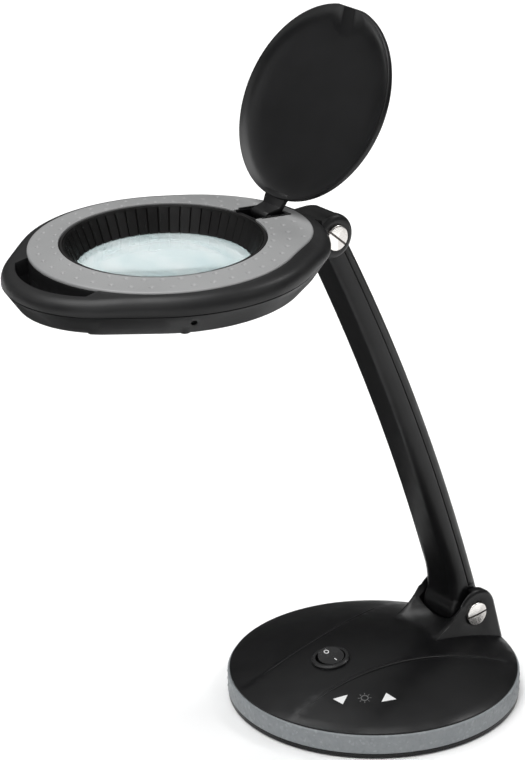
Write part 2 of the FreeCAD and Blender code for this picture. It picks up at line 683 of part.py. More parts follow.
def arm_rear_side(gap):
    """Everything behind the seam, which runs along the arm near its rear face."""
    centre = arm_arc()[0]
    length = arm_arc()[3]
    wide = block(V(-30, -400, -100), V(30, 400, 500))
    behind = wide.cut(bar_along_x(ARM_ARC_RADIUS + ARM_SEAM_OFFSET + gap, 40, centre))
    along = arm_arc()[1]
    keep_low = BASE_PIVOT + along * (TROUGH_RADIUS + 1.5)
    keep_high = HEAD_PIVOT - along * (HOOD_RADIUS + 1.0)
    slab = Part.makeBox(80, 80, (keep_high - keep_low).Length, V(-40, -40, 0))
    slab.Placement = FreeCAD.Placement(keep_low, FreeCAD.Rotation(ALONG_Z, along))
    return behind.common(slab)


def arm_screw_spots():
    """Heads of the three cover screws on the rear face, with the inward direction."""
    centre, along, rear, length = arm_arc()
    spots = []
    for fraction in (0.14, 0.5, 0.86):
        angle = math.asin((fraction - 0.5) * length / ARM_ARC_RADIUS)
        outward = rear * math.cos(angle) + along * math.sin(angle)
        depth = ARM_DEPTH_LOW + (ARM_DEPTH_HIGH - ARM_DEPTH_LOW) * fraction
        rear_depth = depth / 2 + arm_rear_growth(fraction)
        spots.append((centre + outward * (ARM_ARC_RADIUS + rear_depth), outward * -1))
    return spots


def arm_outer():
    high_barrel = tapered_barrel(0, HEAD_PIVOT)
    high_barrel = filleted(high_barrel, 1.5, lambda edge: abs(edge.CenterOfMass.x - ARM_WIDTH / 2) < 0.01)
    return fused([arm_loft(0, 0.5, ARM_END_GAP), arm_low_barrel(), high_barrel])


def arm_hollow():
    return arm_loft(ARM_WALL, TROUGH_RADIUS + 6, TROUGH_RADIUS + 6)


def arm_front_shell():
    shell = arm_outer().cut(arm_hollow()).cut(arm_rear_side(0))
    for spot, inward in arm_screw_spots():
        boss = cylinder(3.0, spot + inward * 8.2, spot + inward * 16.0).common(arm_loft(1.0, TROUGH_RADIUS, TROUGH_RADIUS))
        shell = shell.fuse(boss).cut(cylinder(1.1, spot + inward * 5, spot + inward * 12.5))
    shell = shell.cut(bar_along_x(BUSH_RADIUS, 40, BASE_PIVOT))
    return shell.cut(bar_along_x(SMALL_BUSH_RADIUS, 40, HEAD_PIVOT)).removeSplitter()


def arm_rear_cover():
    cover = arm_outer().cut(arm_hollow()).common(arm_rear_side(SEAM_GAP))
    core = arm_loft(SEAM_GROOVE_DEPTH, TROUGH_RADIUS - 8, HOOD_RADIUS - 8)
    cover = cover.common(core.fuse(arm_rear_side(SEAM_GROOVE)))
    for spot, inward in arm_screw_spots():
        boss = cylinder(3.0, spot + inward * 1.5, spot + inward * 8.2)
        cover = cover.fuse(boss)
        cover = cover.cut(cylinder(1.3, spot - inward, spot + inward * 10))
        cover = cover.cut(cylinder(2.6, spot - inward, spot + inward * 2.2))
    return cover.removeSplitter()


def arm_screws():
    screws = []
    for spot, inward in arm_screw_spots():
        head = cylinder(2.5, spot + inward * 0.8, spot + inward * 2.2)
        shank = cylinder(1.1, spot + inward * 2.2, spot + inward * 12)
        cross = cylinder(0.8, spot, spot + inward * 1.5)
        screws.append(head.fuse(shank).cut(cross).removeSplitter())
    return Part.makeCompound(screws)


def arm_cable():
    """The lead that runs up inside the arm beside the screw bosses."""
    centre, along, rear, length = arm_arc()
    half_angle = math.degrees(math.asin((length / 2 - 26) / ARM_ARC_RADIUS))
    start = centre + rear * (ARM_ARC_RADIUS - 1.5) + V(7, 0, 0)
    section = Part.Face(Part.Wire(Part.makeCircle(1.6, start, along)))
    cable = section.revolve(centre, ALONG_X, 2 * half_angle)
    cable.rotate(centre, ALONG_X, -half_angle)
    return cable


# ---- head ----
def egg_face(circles, height):
    """Face inside the common hull of circles that are centred on Y, front circle first."""
    angles = [-math.pi / 2]
    for (c0, r0), (c1, r1) in zip(circles, circles[1:]):
        angles.append(math.asin((r0 - r1) / (c1 - c0)))
    angles.append(math.pi / 2)
    arcs = []
    for (centre, radius), low, high in zip(circles, angles, angles[1:]):
        arcs.append([V(radius * math.cos(a), centre + radius * math.sin(a), height)
                     for a in (low, (low + high) / 2, high)])
    half = []
    for index, points in enumerate(arcs):
        half.append(Part.Arc(*points).toShape())
        if index + 1 < len(arcs):
            half.append(Part.makeLine(points[2], arcs[index + 1][0]))
    mirrored = [edge.mirror(ORIGIN, ALONG_X) for edge in half]
    return Part.Face(Part.Wire(Part.__sortEdges__(half + mirrored)))


def lies_flat(edge):
    """True for an edge that runs around the head and is not one of its upright edges."""
    first, last = edge.firstVertex().Point, edge.lastVertex().Point
    return math.hypot(first.x - last.x, first.y - last.y) > 1


def egg_prism(circles, inset, low, high):
    shrunk = [(centre, radius - inset) for centre, radius in circles]
    return egg_face(shrunk, low).extrude(V(0, 0, high - low))


def above_cone(offset):
    """The space above the ring's sloping top surface, lowered by an offset."""
    slope = math.tan(math.radians(RING_SLOPE))
    flat_radius = 49.5
    far_radius = 125.0
    flat = (RING_INNER_RADIUS - flat_radius) * slope + offset
    far = (RING_INNER_RADIUS - far_radius) * slope + offset
    return turned([(0, 12), (0, flat), (flat_radius, flat), (far_radius, far), (far_radius, 12)])


def head_form(inset):
    """The rounded outer form of the head, or the same form made smaller all round."""
    upper = egg_prism(HEAD_CIRCLES, inset, HEAD_SEAM - 1.0, 2.0).cut(above_cone(-0.5 - inset))
    upper = filleted(upper, HEAD_EDGE_RADIUS - inset, lambda edge: lies_flat(edge) and edge.CenterOfMass.z > HEAD_SEAM)
    low = HEAD_BOTTOM + inset
    taper = HEAD_TAPER * (HEAD_SEAM - low) / (HEAD_SEAM - HEAD_BOTTOM)
    top_wire = egg_face([(centre, radius - inset) for centre, radius in HEAD_CIRCLES], HEAD_SEAM).OuterWire
    foot_wire = egg_face([(centre, radius - inset - taper) for centre, radius in HEAD_CIRCLES], low).OuterWire
    lower = Part.makeLoft([foot_wire, top_wire], True, True)
    lower = filleted(lower, HEAD_FOOT_RADIUS - inset / 2, lambda edge: edge.CenterOfMass.z < low + 0.01)
    return upper.cut(block(V(-150, -150, -60), V(150, 150, HEAD_SEAM))).fuse(lower)


def slot_prism(grow, low, high):
    """The crescent finger slot in front of the trim ring."""
    disc = cylinder(SLOT_RADIUS + grow, V(0, SLOT_CENTRE_Y, low), V(0, SLOT_CENTRE_Y, high))
    ring_circle = cylinder(RING_CIRCLES[0][1] - grow, V(0, 0, low - 1), V(0, 0, high + 1))
    half = SLOT_HALF_WIDTH + grow
    window = block(V(-half, -120, low), V(half, -40, high))
    return disc.cut(ring_circle).common(window)


def pocket_cutter():
    half = POCKET_HALF_WIDTH + POCKET_WALL
    front = POCKET_BODY_FRONT - POCKET_CUT_GAP
    return block(V(-half, front, POCKET_DEPTH - 0.8), V(half, POCKET_REAR + POCKET_WALL, 6))


def head_screw_spots():
    return [polar(HEAD_SCREW_CIRCLE, degrees) for degrees in (-28, 30, 150, 208)]


def hood():
    """The round knuckle behind the head and its bridge: scalloped sides, lower towards the -X end."""
    pivot = HEAD_LOCAL_PIVOT
    barrel = bar_along_x(HOOD_RADIUS, CHEEK_OUTER_X, pivot)
    barrel = filleted(barrel, HOOD_EDGE_RADIUS, lambda edge: edge.Curve.TypeId == "Part::GeomCircle")
    crown = pivot.z + HOOD_RADIUS
    outline = [(80, -5.0), (90, -6.5), (96, -8.3), (pivot.y - 3, crown - 0.7), (pivot.y - 3, -30),
               (94, -26), (86, -22), (80, -22)]
    bridge = side_prism(outline, CHEEK_OUTER_X - 1.4)
    for side in (-1, 1):
        spot = V(side * (CHEEK_OUTER_X + 2), 89.5, 0)
        bridge = bridge.cut(cylinder(SCALLOP_RADIUS, spot - V(0, 0, 50), spot + V(0, 0, 20)))
    shave = block(V(-60, 70, -40), V(HOOD_SHAVE_X, 130, 20))
    low = V(HOOD_SHAVE_X, 60, crown + 0.05 - HOOD_SHAVE_RADIUS)
    shave = shave.cut(cylinder(HOOD_SHAVE_RADIUS, low, low + V(0, 80, 0)))
    return barrel.fuse(bridge).cut(shave)


def hood_cavity():
    """Room for the arm's upper end between the cheeks, open behind and below."""
    centre = HEAD_LOCAL_PIVOT
    front_line = math.radians(HOOD_FRONT_ANGLE)
    lead = (centre.y - HOOD_FRONT_OFFSET * math.cos(front_line), centre.z - HOOD_FRONT_OFFSET * math.sin(front_line))
    fan = [(centre.y, centre.z), lead]
    fan.append((lead[0] + 60 * math.sin(front_line), lead[1] - 60 * math.cos(front_line)))
    for degrees in (30, 90, 130, HOOD_REAR_ANGLE):
        angle = math.radians(degrees)
        fan.append((centre.y + 60 * math.sin(angle), centre.z - 60 * math.cos(angle)))
    return tapered_barrel(HOOD_GAP, centre).fuse(side_prism(fan, CHEEK_INNER_X))


def head_upper_shell():
    upper_space = block(V(-150, -150, HEAD_SEAM), V(150, 150, 20))
    outer = head_form(0).common(upper_space)
    inner = head_form(HEAD_WALL).common(block(V(-150, -150, HEAD_SEAM - 1), V(150, 150, 20)))
    slot_wall = slot_prism(HEAD_WALL, HEAD_SEAM, 10).common(outer)
    posts = []
    for spot in head_screw_spots():
        posts.append(cylinder(3.0, V(spot.x, spot.y, HEAD_SEAM), V(spot.x, spot.y, -4.4)))
    for degrees in (0, 120, 240):
        spot = polar(65.0, degrees)
        posts.append(cylinder(2.0, V(spot.x, spot.y, -17.0), V(spot.x, spot.y, -3.4)))
    shell = fused([outer.cut(inner), slot_wall, hood()] + posts)
    shell = shell.cut(slot_prism(0, -40, 10))
    shell = shell.cut(cylinder(RING_INNER_RADIUS + 0.8, V(0, 0, -30), V(0, 0, 10)))
    shell = shell.cut(egg_prism(RING_CIRCLES, -0.15, -12, 6).common(above_cone(-RING_THICKNESS - 0.03)))
    shell = shell.cut(pocket_cutter()).cut(hood_cavity()).cut(insert_holes(HEAD_LOCAL_PIVOT))
    for spot in head_screw_spots():
        shell = shell.cut(cylinder(1.2, V(spot.x, spot.y, -30), V(spot.x, spot.y, -8)))
    return shell.removeSplitter()


def head_lower_shell():
    lower_space = block(V(-150, -150, -60), V(150, 150, HEAD_SEAM))
    outer = head_form(0).common(lower_space)
    inner = head_form(HEAD_WALL).common(block(V(-150, -150, -60), V(150, 150, HEAD_SEAM + 1)))
    slot_wall = slot_prism(HEAD_WALL, -60, HEAD_SEAM).common(outer)
    posts = []
    for spot in head_screw_spots():
        posts.append(cylinder(3.0, V(spot.x, spot.y, HEAD_BOTTOM + 0.5), V(spot.x, spot.y, HEAD_SEAM)))
    shell = fused([outer.cut(inner), slot_wall] + posts)
    shell = shell.cut(slot_prism(0, -60, 10)).cut(cylinder(DIFFUSER_RADIUS - 1.5, V(0, 0, -30), V(0, 0, 0)))
    groove_low = HEAD_SEAM - SEAM_GROOVE
    groove = egg_prism(HEAD_CIRCLES, -5, groove_low, HEAD_SEAM + 1)
    shell = shell.cut(groove.cut(egg_prism(HEAD_CIRCLES, SEAM_GROOVE_DEPTH + 0.3, groove_low - 1, HEAD_SEAM + 2)))
    shell = shell.cut(hood()).cut(hood_cavity())
    for spot in head_screw_spots():
        shell = shell.cut(cylinder(1.6, V(spot.x, spot.y, -30), V(spot.x, spot.y, 0)))
        shell = shell.cut(cylinder(2.9, V(spot.x, spot.y, -30), V(spot.x, spot.y, HEAD_BOTTOM + 1.8)))
    vent = cylinder(VENT_RADIUS, polar(70, VENT_AZIMUTH, VENT_HEIGHT), polar(100, VENT_AZIMUTH, VENT_HEIGHT))
    notch = block(V(22, -90, HEAD_BOTTOM - 1), V(26, -70, HEAD_BOTTOM + 1.2))
    return shell.cut(vent).cut(notch).removeSplitter()


def head_screws():
    screws = []
    for spot in head_screw_spots():
        head = cylinder(2.7, V(spot.x, spot.y, HEAD_BOTTOM + 0.3), V(spot.x, spot.y, HEAD_BOTTOM + 1.8))
        shank = cylinder(1.2, V(spot.x, spot.y, HEAD_BOTTOM + 1.8), V(spot.x, spot.y, -9))
        cross = cylinder(0.8, V(spot.x, spot.y, HEAD_BOTTOM), V(spot.x, spot.y, HEAD_BOTTOM + 1.2))
        screws.append(head.fuse(shank).cut(cross).removeSplitter())
    return Part.makeCompound(screws)


def top_trim_ring():
    plate = egg_prism(RING_CIRCLES, 0, -14, 6).cut(above_cone(0)).common(above_cone(-RING_THICKNESS))
    plate = plate.cut(cylinder(RING_INNER_RADIUS, V(0, 0, -20), V(0, 0, 20)))
    half = POCKET_HALF_WIDTH + POCKET_WALL
    plate = plate.cut(block(V(-half, 40, -12), V(half, POCKET_REAR + POCKET_WALL, 6)))
    return plate.removeSplitter()


def lens_funnel():
    top, ring_under = -0.7, -RING_THICKNESS - 0.3
    lip, flange = RING_INNER_RADIUS - 0.1, RING_INNER_RADIUS + 0.7
    return turned([(55.0, top), (lip, top), (lip, ring_under), (flange, ring_under), (flange, -4.0),
                   (51.6, -15.0), (LENS_VISIBLE_RADIUS, -15.0), (LENS_VISIBLE_RADIUS, -14.3)])


def lens():
    """A biconvex lens with a narrow cylindrical edge."""
    sag = LENS_SURFACE_RADIUS - math.sqrt(LENS_SURFACE_RADIUS ** 2 - LENS_RADIUS ** 2)
    mid = LENS_RADIUS / 2
    mid_sag = LENS_SURFACE_RADIUS - math.sqrt(LENS_SURFACE_RADIUS ** 2 - mid ** 2)
    top, bottom = LENS_EDGE_TOP + sag, LENS_EDGE_BOTTOM - sag
    upper = Part.Arc(V(0, 0, top), V(mid, 0, top - mid_sag), V(LENS_RADIUS, 0, LENS_EDGE_TOP)).toShape()
    edge = Part.makeLine(V(LENS_RADIUS, 0, LENS_EDGE_TOP), V(LENS_RADIUS, 0, LENS_EDGE_BOTTOM))
    lower = Part.Arc(V(LENS_RADIUS, 0, LENS_EDGE_BOTTOM), V(mid, 0, bottom + mid_sag), V(0, 0, bottom)).toShape()
    axis = Part.makeLine(V(0, 0, bottom), V(0, 0, top))
    return Part.Face(Part.Wire([upper, edge, lower, axis])).revolve(ORIGIN, ALONG_Z, 360)


def lens_retainer():
    seat_top = LENS_EDGE_BOTTOM - 0.25
    skirt = tube(48.8, 50.9, HEAD_BOTTOM + 0.2, seat_top)
    seat = tube(48.8, 54.0, -19.0, seat_top)
    return skirt.fuse(seat).removeSplitter()


def led_board():
    return tube(54.4, LED_BOARD_RADIUS, -18.6, -17.0)


def led_chips():
    chips = []
    for index in range(LED_COUNT):
        chip = block(V(LED_CIRCLE - 1.75, -1.4, -19.6), V(LED_CIRCLE + 1.75, 1.4, -18.6))
        chip.rotate(ORIGIN, ALONG_Z, 360.0 * index / LED_COUNT)
        chips.append(chip)
    return Part.makeCompound(chips)


def diffuser_ring():
    low = HEAD_BOTTOM + HEAD_WALL + 0.02
    ring = tube(51.0, DIFFUSER_RADIUS, low, low + 1.4)
    return ring.cut(slot_prism(HEAD_WALL, -40, 10))


def lid_hinge_bracket():
    half = POCKET_HALF_WIDTH + POCKET_WALL
    body = block(V(-half, POCKET_BODY_FRONT, POCKET_DEPTH - 0.8), V(half, POCKET_REAR + POCKET_WALL, 6))
    body = body.cut(above_cone(0))
    room = block(V(-POCKET_HALF_WIDTH, POCKET_FRONT, POCKET_DEPTH), V(POCKET_HALF_WIDTH, POCKET_REAR, 10))
    front_step = block(V(-POCKET_HALF_WIDTH, 50, -1.6), V(POCKET_HALF_WIDTH, POCKET_FRONT + 1, 10))
    return body.cut(room).cut(front_step).cut(bar_along_x(LID_PIN_RADIUS, half - 0.4, LID_HINGE))


def lid_hinge_pin():
    return bar_along_x(LID_PIN_RADIUS, POCKET_HALF_WIDTH + POCKET_WALL - 0.4, LID_HINGE)


# ---- lid ----
def scoop_bar(radius):
    """A wide inclined cylinder whose lowest line runs down towards the lid's front edge."""
    incline = math.radians(SCOOP_INCLINE)
    tip = V(0, SCOOP_TIP_Y, SCOOP_TIP_Z)
    towards_front = V(0, -math.cos(incline), -math.sin(incline))
    upward = V(0, -math.sin(incline), math.cos(incline))
    start = tip + upward * SCOOP_RADIUS - towards_front * 60
    return cylinder(radius, start, start + towards_front * 120)


def lid_stem():
    """The neck between the lid's disc and its hinge knuckle."""
    y, z = LID_HINGE_Y, LID_HINGE_Z
    profile = [(y - 15, z + 4.4), (y - 15, z + 6.4), (y - 5, z + 6.4), (y + 2.0, z + 2.1), (y - 2.0, z - 2.1),
               (y - 7, z + 3.8), (y - 11, z + 3.8)]
    across = side_prism(profile, 12)
    taper = [V(-9.4, y - 16, -10), V(9.4, y - 16, -10), V(LID_KNUCKLE_HALF_WIDTH, y - 2, -10),
             V(LID_KNUCKLE_HALF_WIDTH, y + 5, -10), V(-LID_KNUCKLE_HALF_WIDTH, y + 5, -10),
             V(-LID_KNUCKLE_HALF_WIDTH, y - 2, -10)]
    plan = Part.Face(Part.makePolygon(taper + [taper[0]])).extrude(V(0, 0, 20))
    return across.common(plan)


def lid_cover():
    skin = 1.5
    depth = LID_CENTRE_UNDERSIDE - LID_RIM_LOW - 0.3
    bowl = [(radius, LID_CENTRE_UNDERSIDE - depth * (radius / LID_BOWL_RADIUS) ** LID_BOWL_POWER)
            for radius in (0, 36, 42, 46, 49, 51, 52.7, 54, 55, 55.8, LID_BOWL_RADIUS)]
    dish = turned(bowl + [(56.8, LID_RIM_LOW), (LID_RADIUS, 0.8), (LID_RADIUS, 3.2), (56.3, 4.2), (0, 6.0)])
    scoop_window = block(V(-25, -60, -2), V(25, SCOOP_TIP_Y + 0.5, 20))
    under_scoop = cylinder(LID_BOWL_RADIUS, V(0, 0, LID_RIM_LOW), V(0, 0, 5.0)).common(scoop_bar(SCOOP_RADIUS))
    cover = dish.fuse(under_scoop.common(scoop_window))
    cover = cover.cut(scoop_bar(SCOOP_RADIUS - skin).common(scoop_window))
    cover = cover.cut(block(V(-40, -70, -5), V(40, -LID_FLAT, 20)))
    knuckle = bar_along_x(LID_KNUCKLE_RADIUS, LID_KNUCKLE_HALF_WIDTH, LID_HINGE)
    cover = fused([cover, lid_stem(), knuckle])
    return cover.cut(bar_along_x(LID_PIN_RADIUS + RUNNING_CLEARANCE, 20, LID_HINGE))


# ---- export ----
def head_parts():
    """Head and lid pieces, each moved from the head's frame to the lamp's."""
    local = {
        "head_upper_shell": head_upper_shell(),
        "head_lower_shell": head_lower_shell(),
        "head_screws": head_screws(),
        "top_trim_ring": top_trim_ring(),
        "lens_funnel": lens_funnel(),
        "lens": lens(),
        "lens_retainer": lens_retainer(),
        "led_board": led_board(),
        "led_chips": led_chips(),
        "diffuser_ring": diffuser_ring(),
        "lid_hinge_bracket": lid_hinge_bracket(),
        "lid_hinge_pin": lid_hinge_pin(),
        "head_hinge_screw": hinge_screw(HEAD_LOCAL_PIVOT, HEAD_SLOT_ANGLE, INSERT_END_X),
        "head_hinge_insert": threaded_insert(HEAD_LOCAL_PIVOT),
        "lid_cover": opened_lid(lid_cover()),
    }
    return {name: in_head(shape) for name, shape in local.items()}


def base_parts():
    return {
        "base_top_cover": base_top_cover(),
        "base_trim_band": base_trim_band(),
        "base_bottom_cover": base_bottom_cover(),
        "base_screws": base_screws(),
        "non_slip_ring": non_slip_ring(),
        "ballast_plate": ballast_plate(),
        "dim_mark": arrow_mark(-1),
        "bright_mark": arrow_mark(1),
        "sun_mark": sun_mark(),
        "touch_board": touch_board(),
        "driver_board": driver_board(),
        "driver_components": driver_components(),
        "dc_socket": dc_socket(),
        "switch_housing": switch_housing(),
        "switch_terminals": switch_terminals(),
        "switch_rocker": switch_rocker(),
        "rocker_marks": rocker_marks(),
        "base_hinge_screw": hinge_screw(BASE_PIVOT, BASE_SLOT_ANGLE, YOKE_LEFT_X),
        "base_hinge_nut": hinge_nut(BASE_PIVOT),
    }


def arm_parts():
    return {
        "arm_front_shell": arm_front_shell(),
        "arm_rear_cover": arm_rear_cover(),
        "arm_screws": arm_screws(),
        "arm_cable": arm_cable(),
        "lower_hinge_bush": hinge_bush(BASE_PIVOT, BUSH_RADIUS),
        "upper_hinge_bush": hinge_bush(HEAD_PIVOT, SMALL_BUSH_RADIUS),
        "lower_hinge_washers": hinge_washers(BASE_PIVOT, WASHER_RADIUS),
        "upper_hinge_washers": hinge_washers(HEAD_PIVOT, ARM_BARREL_TAPER[-1][1]),
    }


os.makedirs("parts", exist_ok=True)
for group in (base_parts(), arm_parts(), head_parts()):
    for name, shape in group.items():
        shape.exportStep("parts/" + name + ".step")
        box = shape.BoundBox
        print(name, "solids", len(shape.Solids), "valid", shape.isValid(), "volume", round(shape.Volume),
              "x %.1f..%.1f y %.1f..%.1f z %.1f..%.1f" % (box.XMin, box.XMax, box.YMin, box.YMax, box.ZMin, box.ZMax))
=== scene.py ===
import json
import math

import bmesh
import bpy
from mathutils import Matrix, Vector

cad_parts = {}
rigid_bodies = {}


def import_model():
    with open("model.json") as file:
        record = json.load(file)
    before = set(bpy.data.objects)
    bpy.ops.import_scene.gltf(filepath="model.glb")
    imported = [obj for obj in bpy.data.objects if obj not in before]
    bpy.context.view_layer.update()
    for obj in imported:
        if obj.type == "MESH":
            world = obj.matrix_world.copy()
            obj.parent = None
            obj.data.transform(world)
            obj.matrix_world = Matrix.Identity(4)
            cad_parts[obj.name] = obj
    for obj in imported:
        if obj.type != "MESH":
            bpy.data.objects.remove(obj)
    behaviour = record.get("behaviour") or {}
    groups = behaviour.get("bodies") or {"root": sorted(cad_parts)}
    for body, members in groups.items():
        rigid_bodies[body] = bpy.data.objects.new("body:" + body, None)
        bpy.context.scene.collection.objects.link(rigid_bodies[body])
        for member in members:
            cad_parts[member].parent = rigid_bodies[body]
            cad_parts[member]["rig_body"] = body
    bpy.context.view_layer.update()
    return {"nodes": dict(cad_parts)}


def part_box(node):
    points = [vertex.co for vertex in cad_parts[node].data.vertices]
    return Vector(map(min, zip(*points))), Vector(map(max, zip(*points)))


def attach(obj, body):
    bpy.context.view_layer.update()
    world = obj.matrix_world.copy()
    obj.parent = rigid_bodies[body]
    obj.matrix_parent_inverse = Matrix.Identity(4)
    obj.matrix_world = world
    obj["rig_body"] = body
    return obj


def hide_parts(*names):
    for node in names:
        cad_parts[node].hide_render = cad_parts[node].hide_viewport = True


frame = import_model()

MM = 0.001

# ---- camera: a raised three-quarter view from the lamp's front right; degrees and metres ----
CAMERA_AZIMUTH = 52.13
CAMERA_ELEVATION = 22.5
CAMERA_ROLL = -0.72
CAMERA_DISTANCE = 1.96963
CAMERA_RIGHT = -0.06761
CAMERA_UP = 0.18791
CLIP_START, CLIP_END = 0.05, 50.0
# the lens, in millimetres
FOCAL_LENGTH = 153.0
SENSOR_WIDTH = 36.0

# ---- the set, metres: floor, and dark cards that only reflections see ----
FLOOR_HALF = 6.0
CARD_LIFT = 0.001
FLOOR_CARDS = {
    "near_floor_card": [(0.045, 0.10), (0.085, 0.05), (0.115, 0.075), (0.075, 0.125)],
    "front_floor_card": [(-0.12, -0.22), (0.4, -0.22), (0.35, -0.56), (-0.3, -0.56)],
    "left_floor_card": [(-0.115, 0.30), (-0.115, -0.22), (-0.8, -0.7), (-0.8, 0.4)],
}
# upright cards: the two ends of the foot line, and the height
BACK_CARDS = {
    "left_back_card": ((-1.1, -0.05), (0.05, 1.0), 0.5),
    "right_back_card": ((0.65, 1.5), (1.7, 0.35), 1.2),
}

# ---- light: name, direction of travel, strength, spread in degrees ----
SUNS = (
    ("overhead", (0.1, 0.25, -1.0), 2.7, 50),
    ("camera_side", (-0.5, 0.7, -0.6), 0.4, 40),
)
# name, place, what it points at, size in metres, watts
SOFTBOXES = (
    ("key_softbox", (-1.0, -1.5, 1.5), (0, -0.05, 0.25), (0.9, 0.9), 2),
    ("front_softbox", (0.7, -1.7, 0.3), (0, -0.1, 0.28), (1.0, 0.5), 2),
    ("edge_softbox", (0.4, 1.2, 1.7), (0, -0.05, 0.1), (0.4, 0.4), 6),
    ("side_softbox", (1.6, 0.9, 1.1), (0, -0.05, 0.2), (0.5, 1.2), 4),
)
# brightness of the sky from the horizon (0) to straight up (1)
SKY_LEVELS = ((0.0, 0.05), (0.3, 0.13), (0.6, 0.3), (1.0, 0.5))

# ---- the head's own frame: origin in the middle of the opening, at the trim ring's inner edge ----
HEAD_TILT = math.radians(1.06)
HEAD_PIVOT = Vector((0, -45.4, 308.5)) * MM
HEAD_PIVOT_LOCAL = Vector((0, 104.3, -20.0)) * MM
TO_HEAD = (Matrix.Translation(HEAD_PIVOT) @ Matrix.Rotation(HEAD_TILT, 4, "X")
           @ Matrix.Translation(-HEAD_PIVOT_LOCAL))

# ---- trim ring, millimetres in the head's frame ----
RING_INNER = 57.2
RING_FRONT_RADIUS = 74.5
RING_REAR_RADIUS = 60.2
RING_REAR_CENTRE = 28.0
RING_THICKNESS = 1.8
RING_SLOPE = math.tan(math.radians(7.1))
RING_LIP = 0.5
RING_EDGE_RADIUS = 1.5
RING_EDGE_DROP = 0.95
OUTLINE_STEPS = 40
DIMPLE_ROWS = (60.3, 68.6, 76.9, 85.2)
DIMPLES_PER_ROW = 39
DIMPLE_RADIUS = 1.55
DIMPLE_DEPTH = 0.75
DIMPLE_SQUASH = 1.25
DIMPLE_EDGE_GAP = 4.0

# ---- lid's hinge pocket: the notch in the ring and the frame round it ----
POCKET_HALF = 10.0
POCKET_FRONT = 40.0
POCKET_REAR = 79.0
POCKET_LOW, POCKET_HIGH = -12.0, 6.0
FRAME_INSIDE, FRAME_OUTSIDE = 9.5, 11.1
FRAME_FRONT, FRAME_REAR = 60.2, 80.6
REAR_BAR_FRONT = 78.2
REAR_BAR_HALF = 9.6
FRAME_PROUD = 0.5
FRAME_HEIGHT = 1.6
FRAME_FOOT = 0.7
FRAME_ROUNDING = 0.35

# ---- funnel: points (radius, height) from the ring's edge down the faceted wall and back up outside ----
FACETS = 54
POINTS_PER_FACET = 14
FACET_GROOVE = 0.8
FACET_LEAN = 0.5
FUNNEL_LIP = [(57.1, -2.1), (56.7, -1.5), (56.55, -0.85), (56.35, -0.6), (55.3, -0.6), (55.1, -0.85),
              (55.0, -1.7), (54.75, -1.7), (54.6, -1.0), (54.4, -0.95)]
FUNNEL_WALL = [(54.2, -1.7), (53.7, -2.9), (52.7, -5.3), (51.7, -7.8), (50.7, -10.3), (49.7, -12.7),
               (49.1, -14.3), (48.7, -15.0)]
FUNNEL_OUTSIDE = [(51.7, -15.0), (57.9, -4.0), (57.9, -2.1)]

# ---- base cover: dome and the arcs of its two creases ----
BASE_APEX = 33.0
BASE_RIM = 16.4
COVER_RADIUS = 87.5
CREASE_RADIUS = 288.0
CREASE_NEAREST_X = 23.0
CREASE_NEAREST_Y = -65.0
CREASE_RISE = 0.8
PANEL_RADIUS = 84.0
CREASE_LOW_Y = -78.0
CREASE_HIGH_Y = 50.0
BEAD_WIDTH = 1.3
BEAD_HEIGHT = 0.8
BEAD_SINK = 0.5
BEAD_STATIONS = 90
BEAD_SIDES = 12
BEAD_FADES = 6

# ---- base band with rows of faint raised dots, and the inlet's hole ----
BAND_RADIUS = 88.7
BAND_INNER = 86.7
BAND_LOW, BAND_HIGH = 3.2, 15.4
BAND_ROUNDING = 0.9
DOT_LEVELS = (5.4, 8.0, 10.6, 13.2)
DOTS_PER_ROW = 66
DOT_RADIUS = 1.1
DOT_HEIGHT = 0.26
SOCKET_AZIMUTH = math.radians(118.0)
SOCKET_HEIGHT = 9.3
SOCKET_RADIUS = 3.9
SOCKET_CUT_FROM, SOCKET_CUT_TO = 70.0, 100.0

# ---- hinge screws: slotted, slightly domed heads; x along the screw's axis ----
SCREW_HEAD_RADIUS = 7.5
SCREW_HEAD_FACE = 22.8
SCREW_SEAT = 20.2
SCREW_DOME = 0.3
SCREW_RIM = 0.7
SCREW_SHANK_RADIUS = 3.0
SCREW_SIDES = 96
DOME_STEPS = 12
RIM_STEPS = 6
SLOT_DEPTH = 1.4
SLOT_HALF_WIDTH = 0.6
SLOT_HALF_LENGTH = 10.0
# faces of the slot between these two heights and inside this radius get painted shade: a darker metal
# standing in for the shadow in the slot
SLOT_SHADE_LOW, SLOT_SHADE_HIGH = SCREW_SEAT + 0.1, SCREW_HEAD_FACE - 0.5
SLOT_SHADE_RADIUS = 6.9
LOWER_SLOT_ANGLE = math.radians(6)
UPPER_SLOT_ANGLE = math.radians(139)
LOWER_SHANK_END = 19.0
UPPER_SHANK_END = 18.4

# ---- surface texture: scales are features per metre; heights, edge radii and distances are metres ----
GRAIN_HEIGHT = 0.00002
GRAIN_SCALE = 1500.0
FLOW_SCALE = 18.0
FLOW_STRETCH = (1.0, 1.0, 2.2)
SHEEN_SCALE = 60.0
PEEL_SCALE = 120.0
PEEL_SHARE = 0.8
MOULDED_EDGE = 0.0004
FLECK_SCALE = 700.0
SPECKLED_EDGE = 0.0003
METAL_EDGE = 0.00025
TURNING_PITCH = 9000.0
TURNING_HEIGHT = 0.000006
SCREW_REACH = 0.02

# ---- meshes: angles, the distance that welds points in metres, edge roundings in millimetres ----
SMOOTH_BELOW = math.radians(35.0)
ROUND_ABOVE = math.radians(38.0)
WELD_DISTANCE = 0.000004
SHELL_ROUNDING = 0.35
COVER_ROUNDING = 0.9
LID_ROUNDING = 0.4
CYLINDER_SIDES = 48


def add_object(name, data):
    made = bpy.data.objects.new(name, data)
    bpy.context.scene.collection.objects.link(made)
    return made


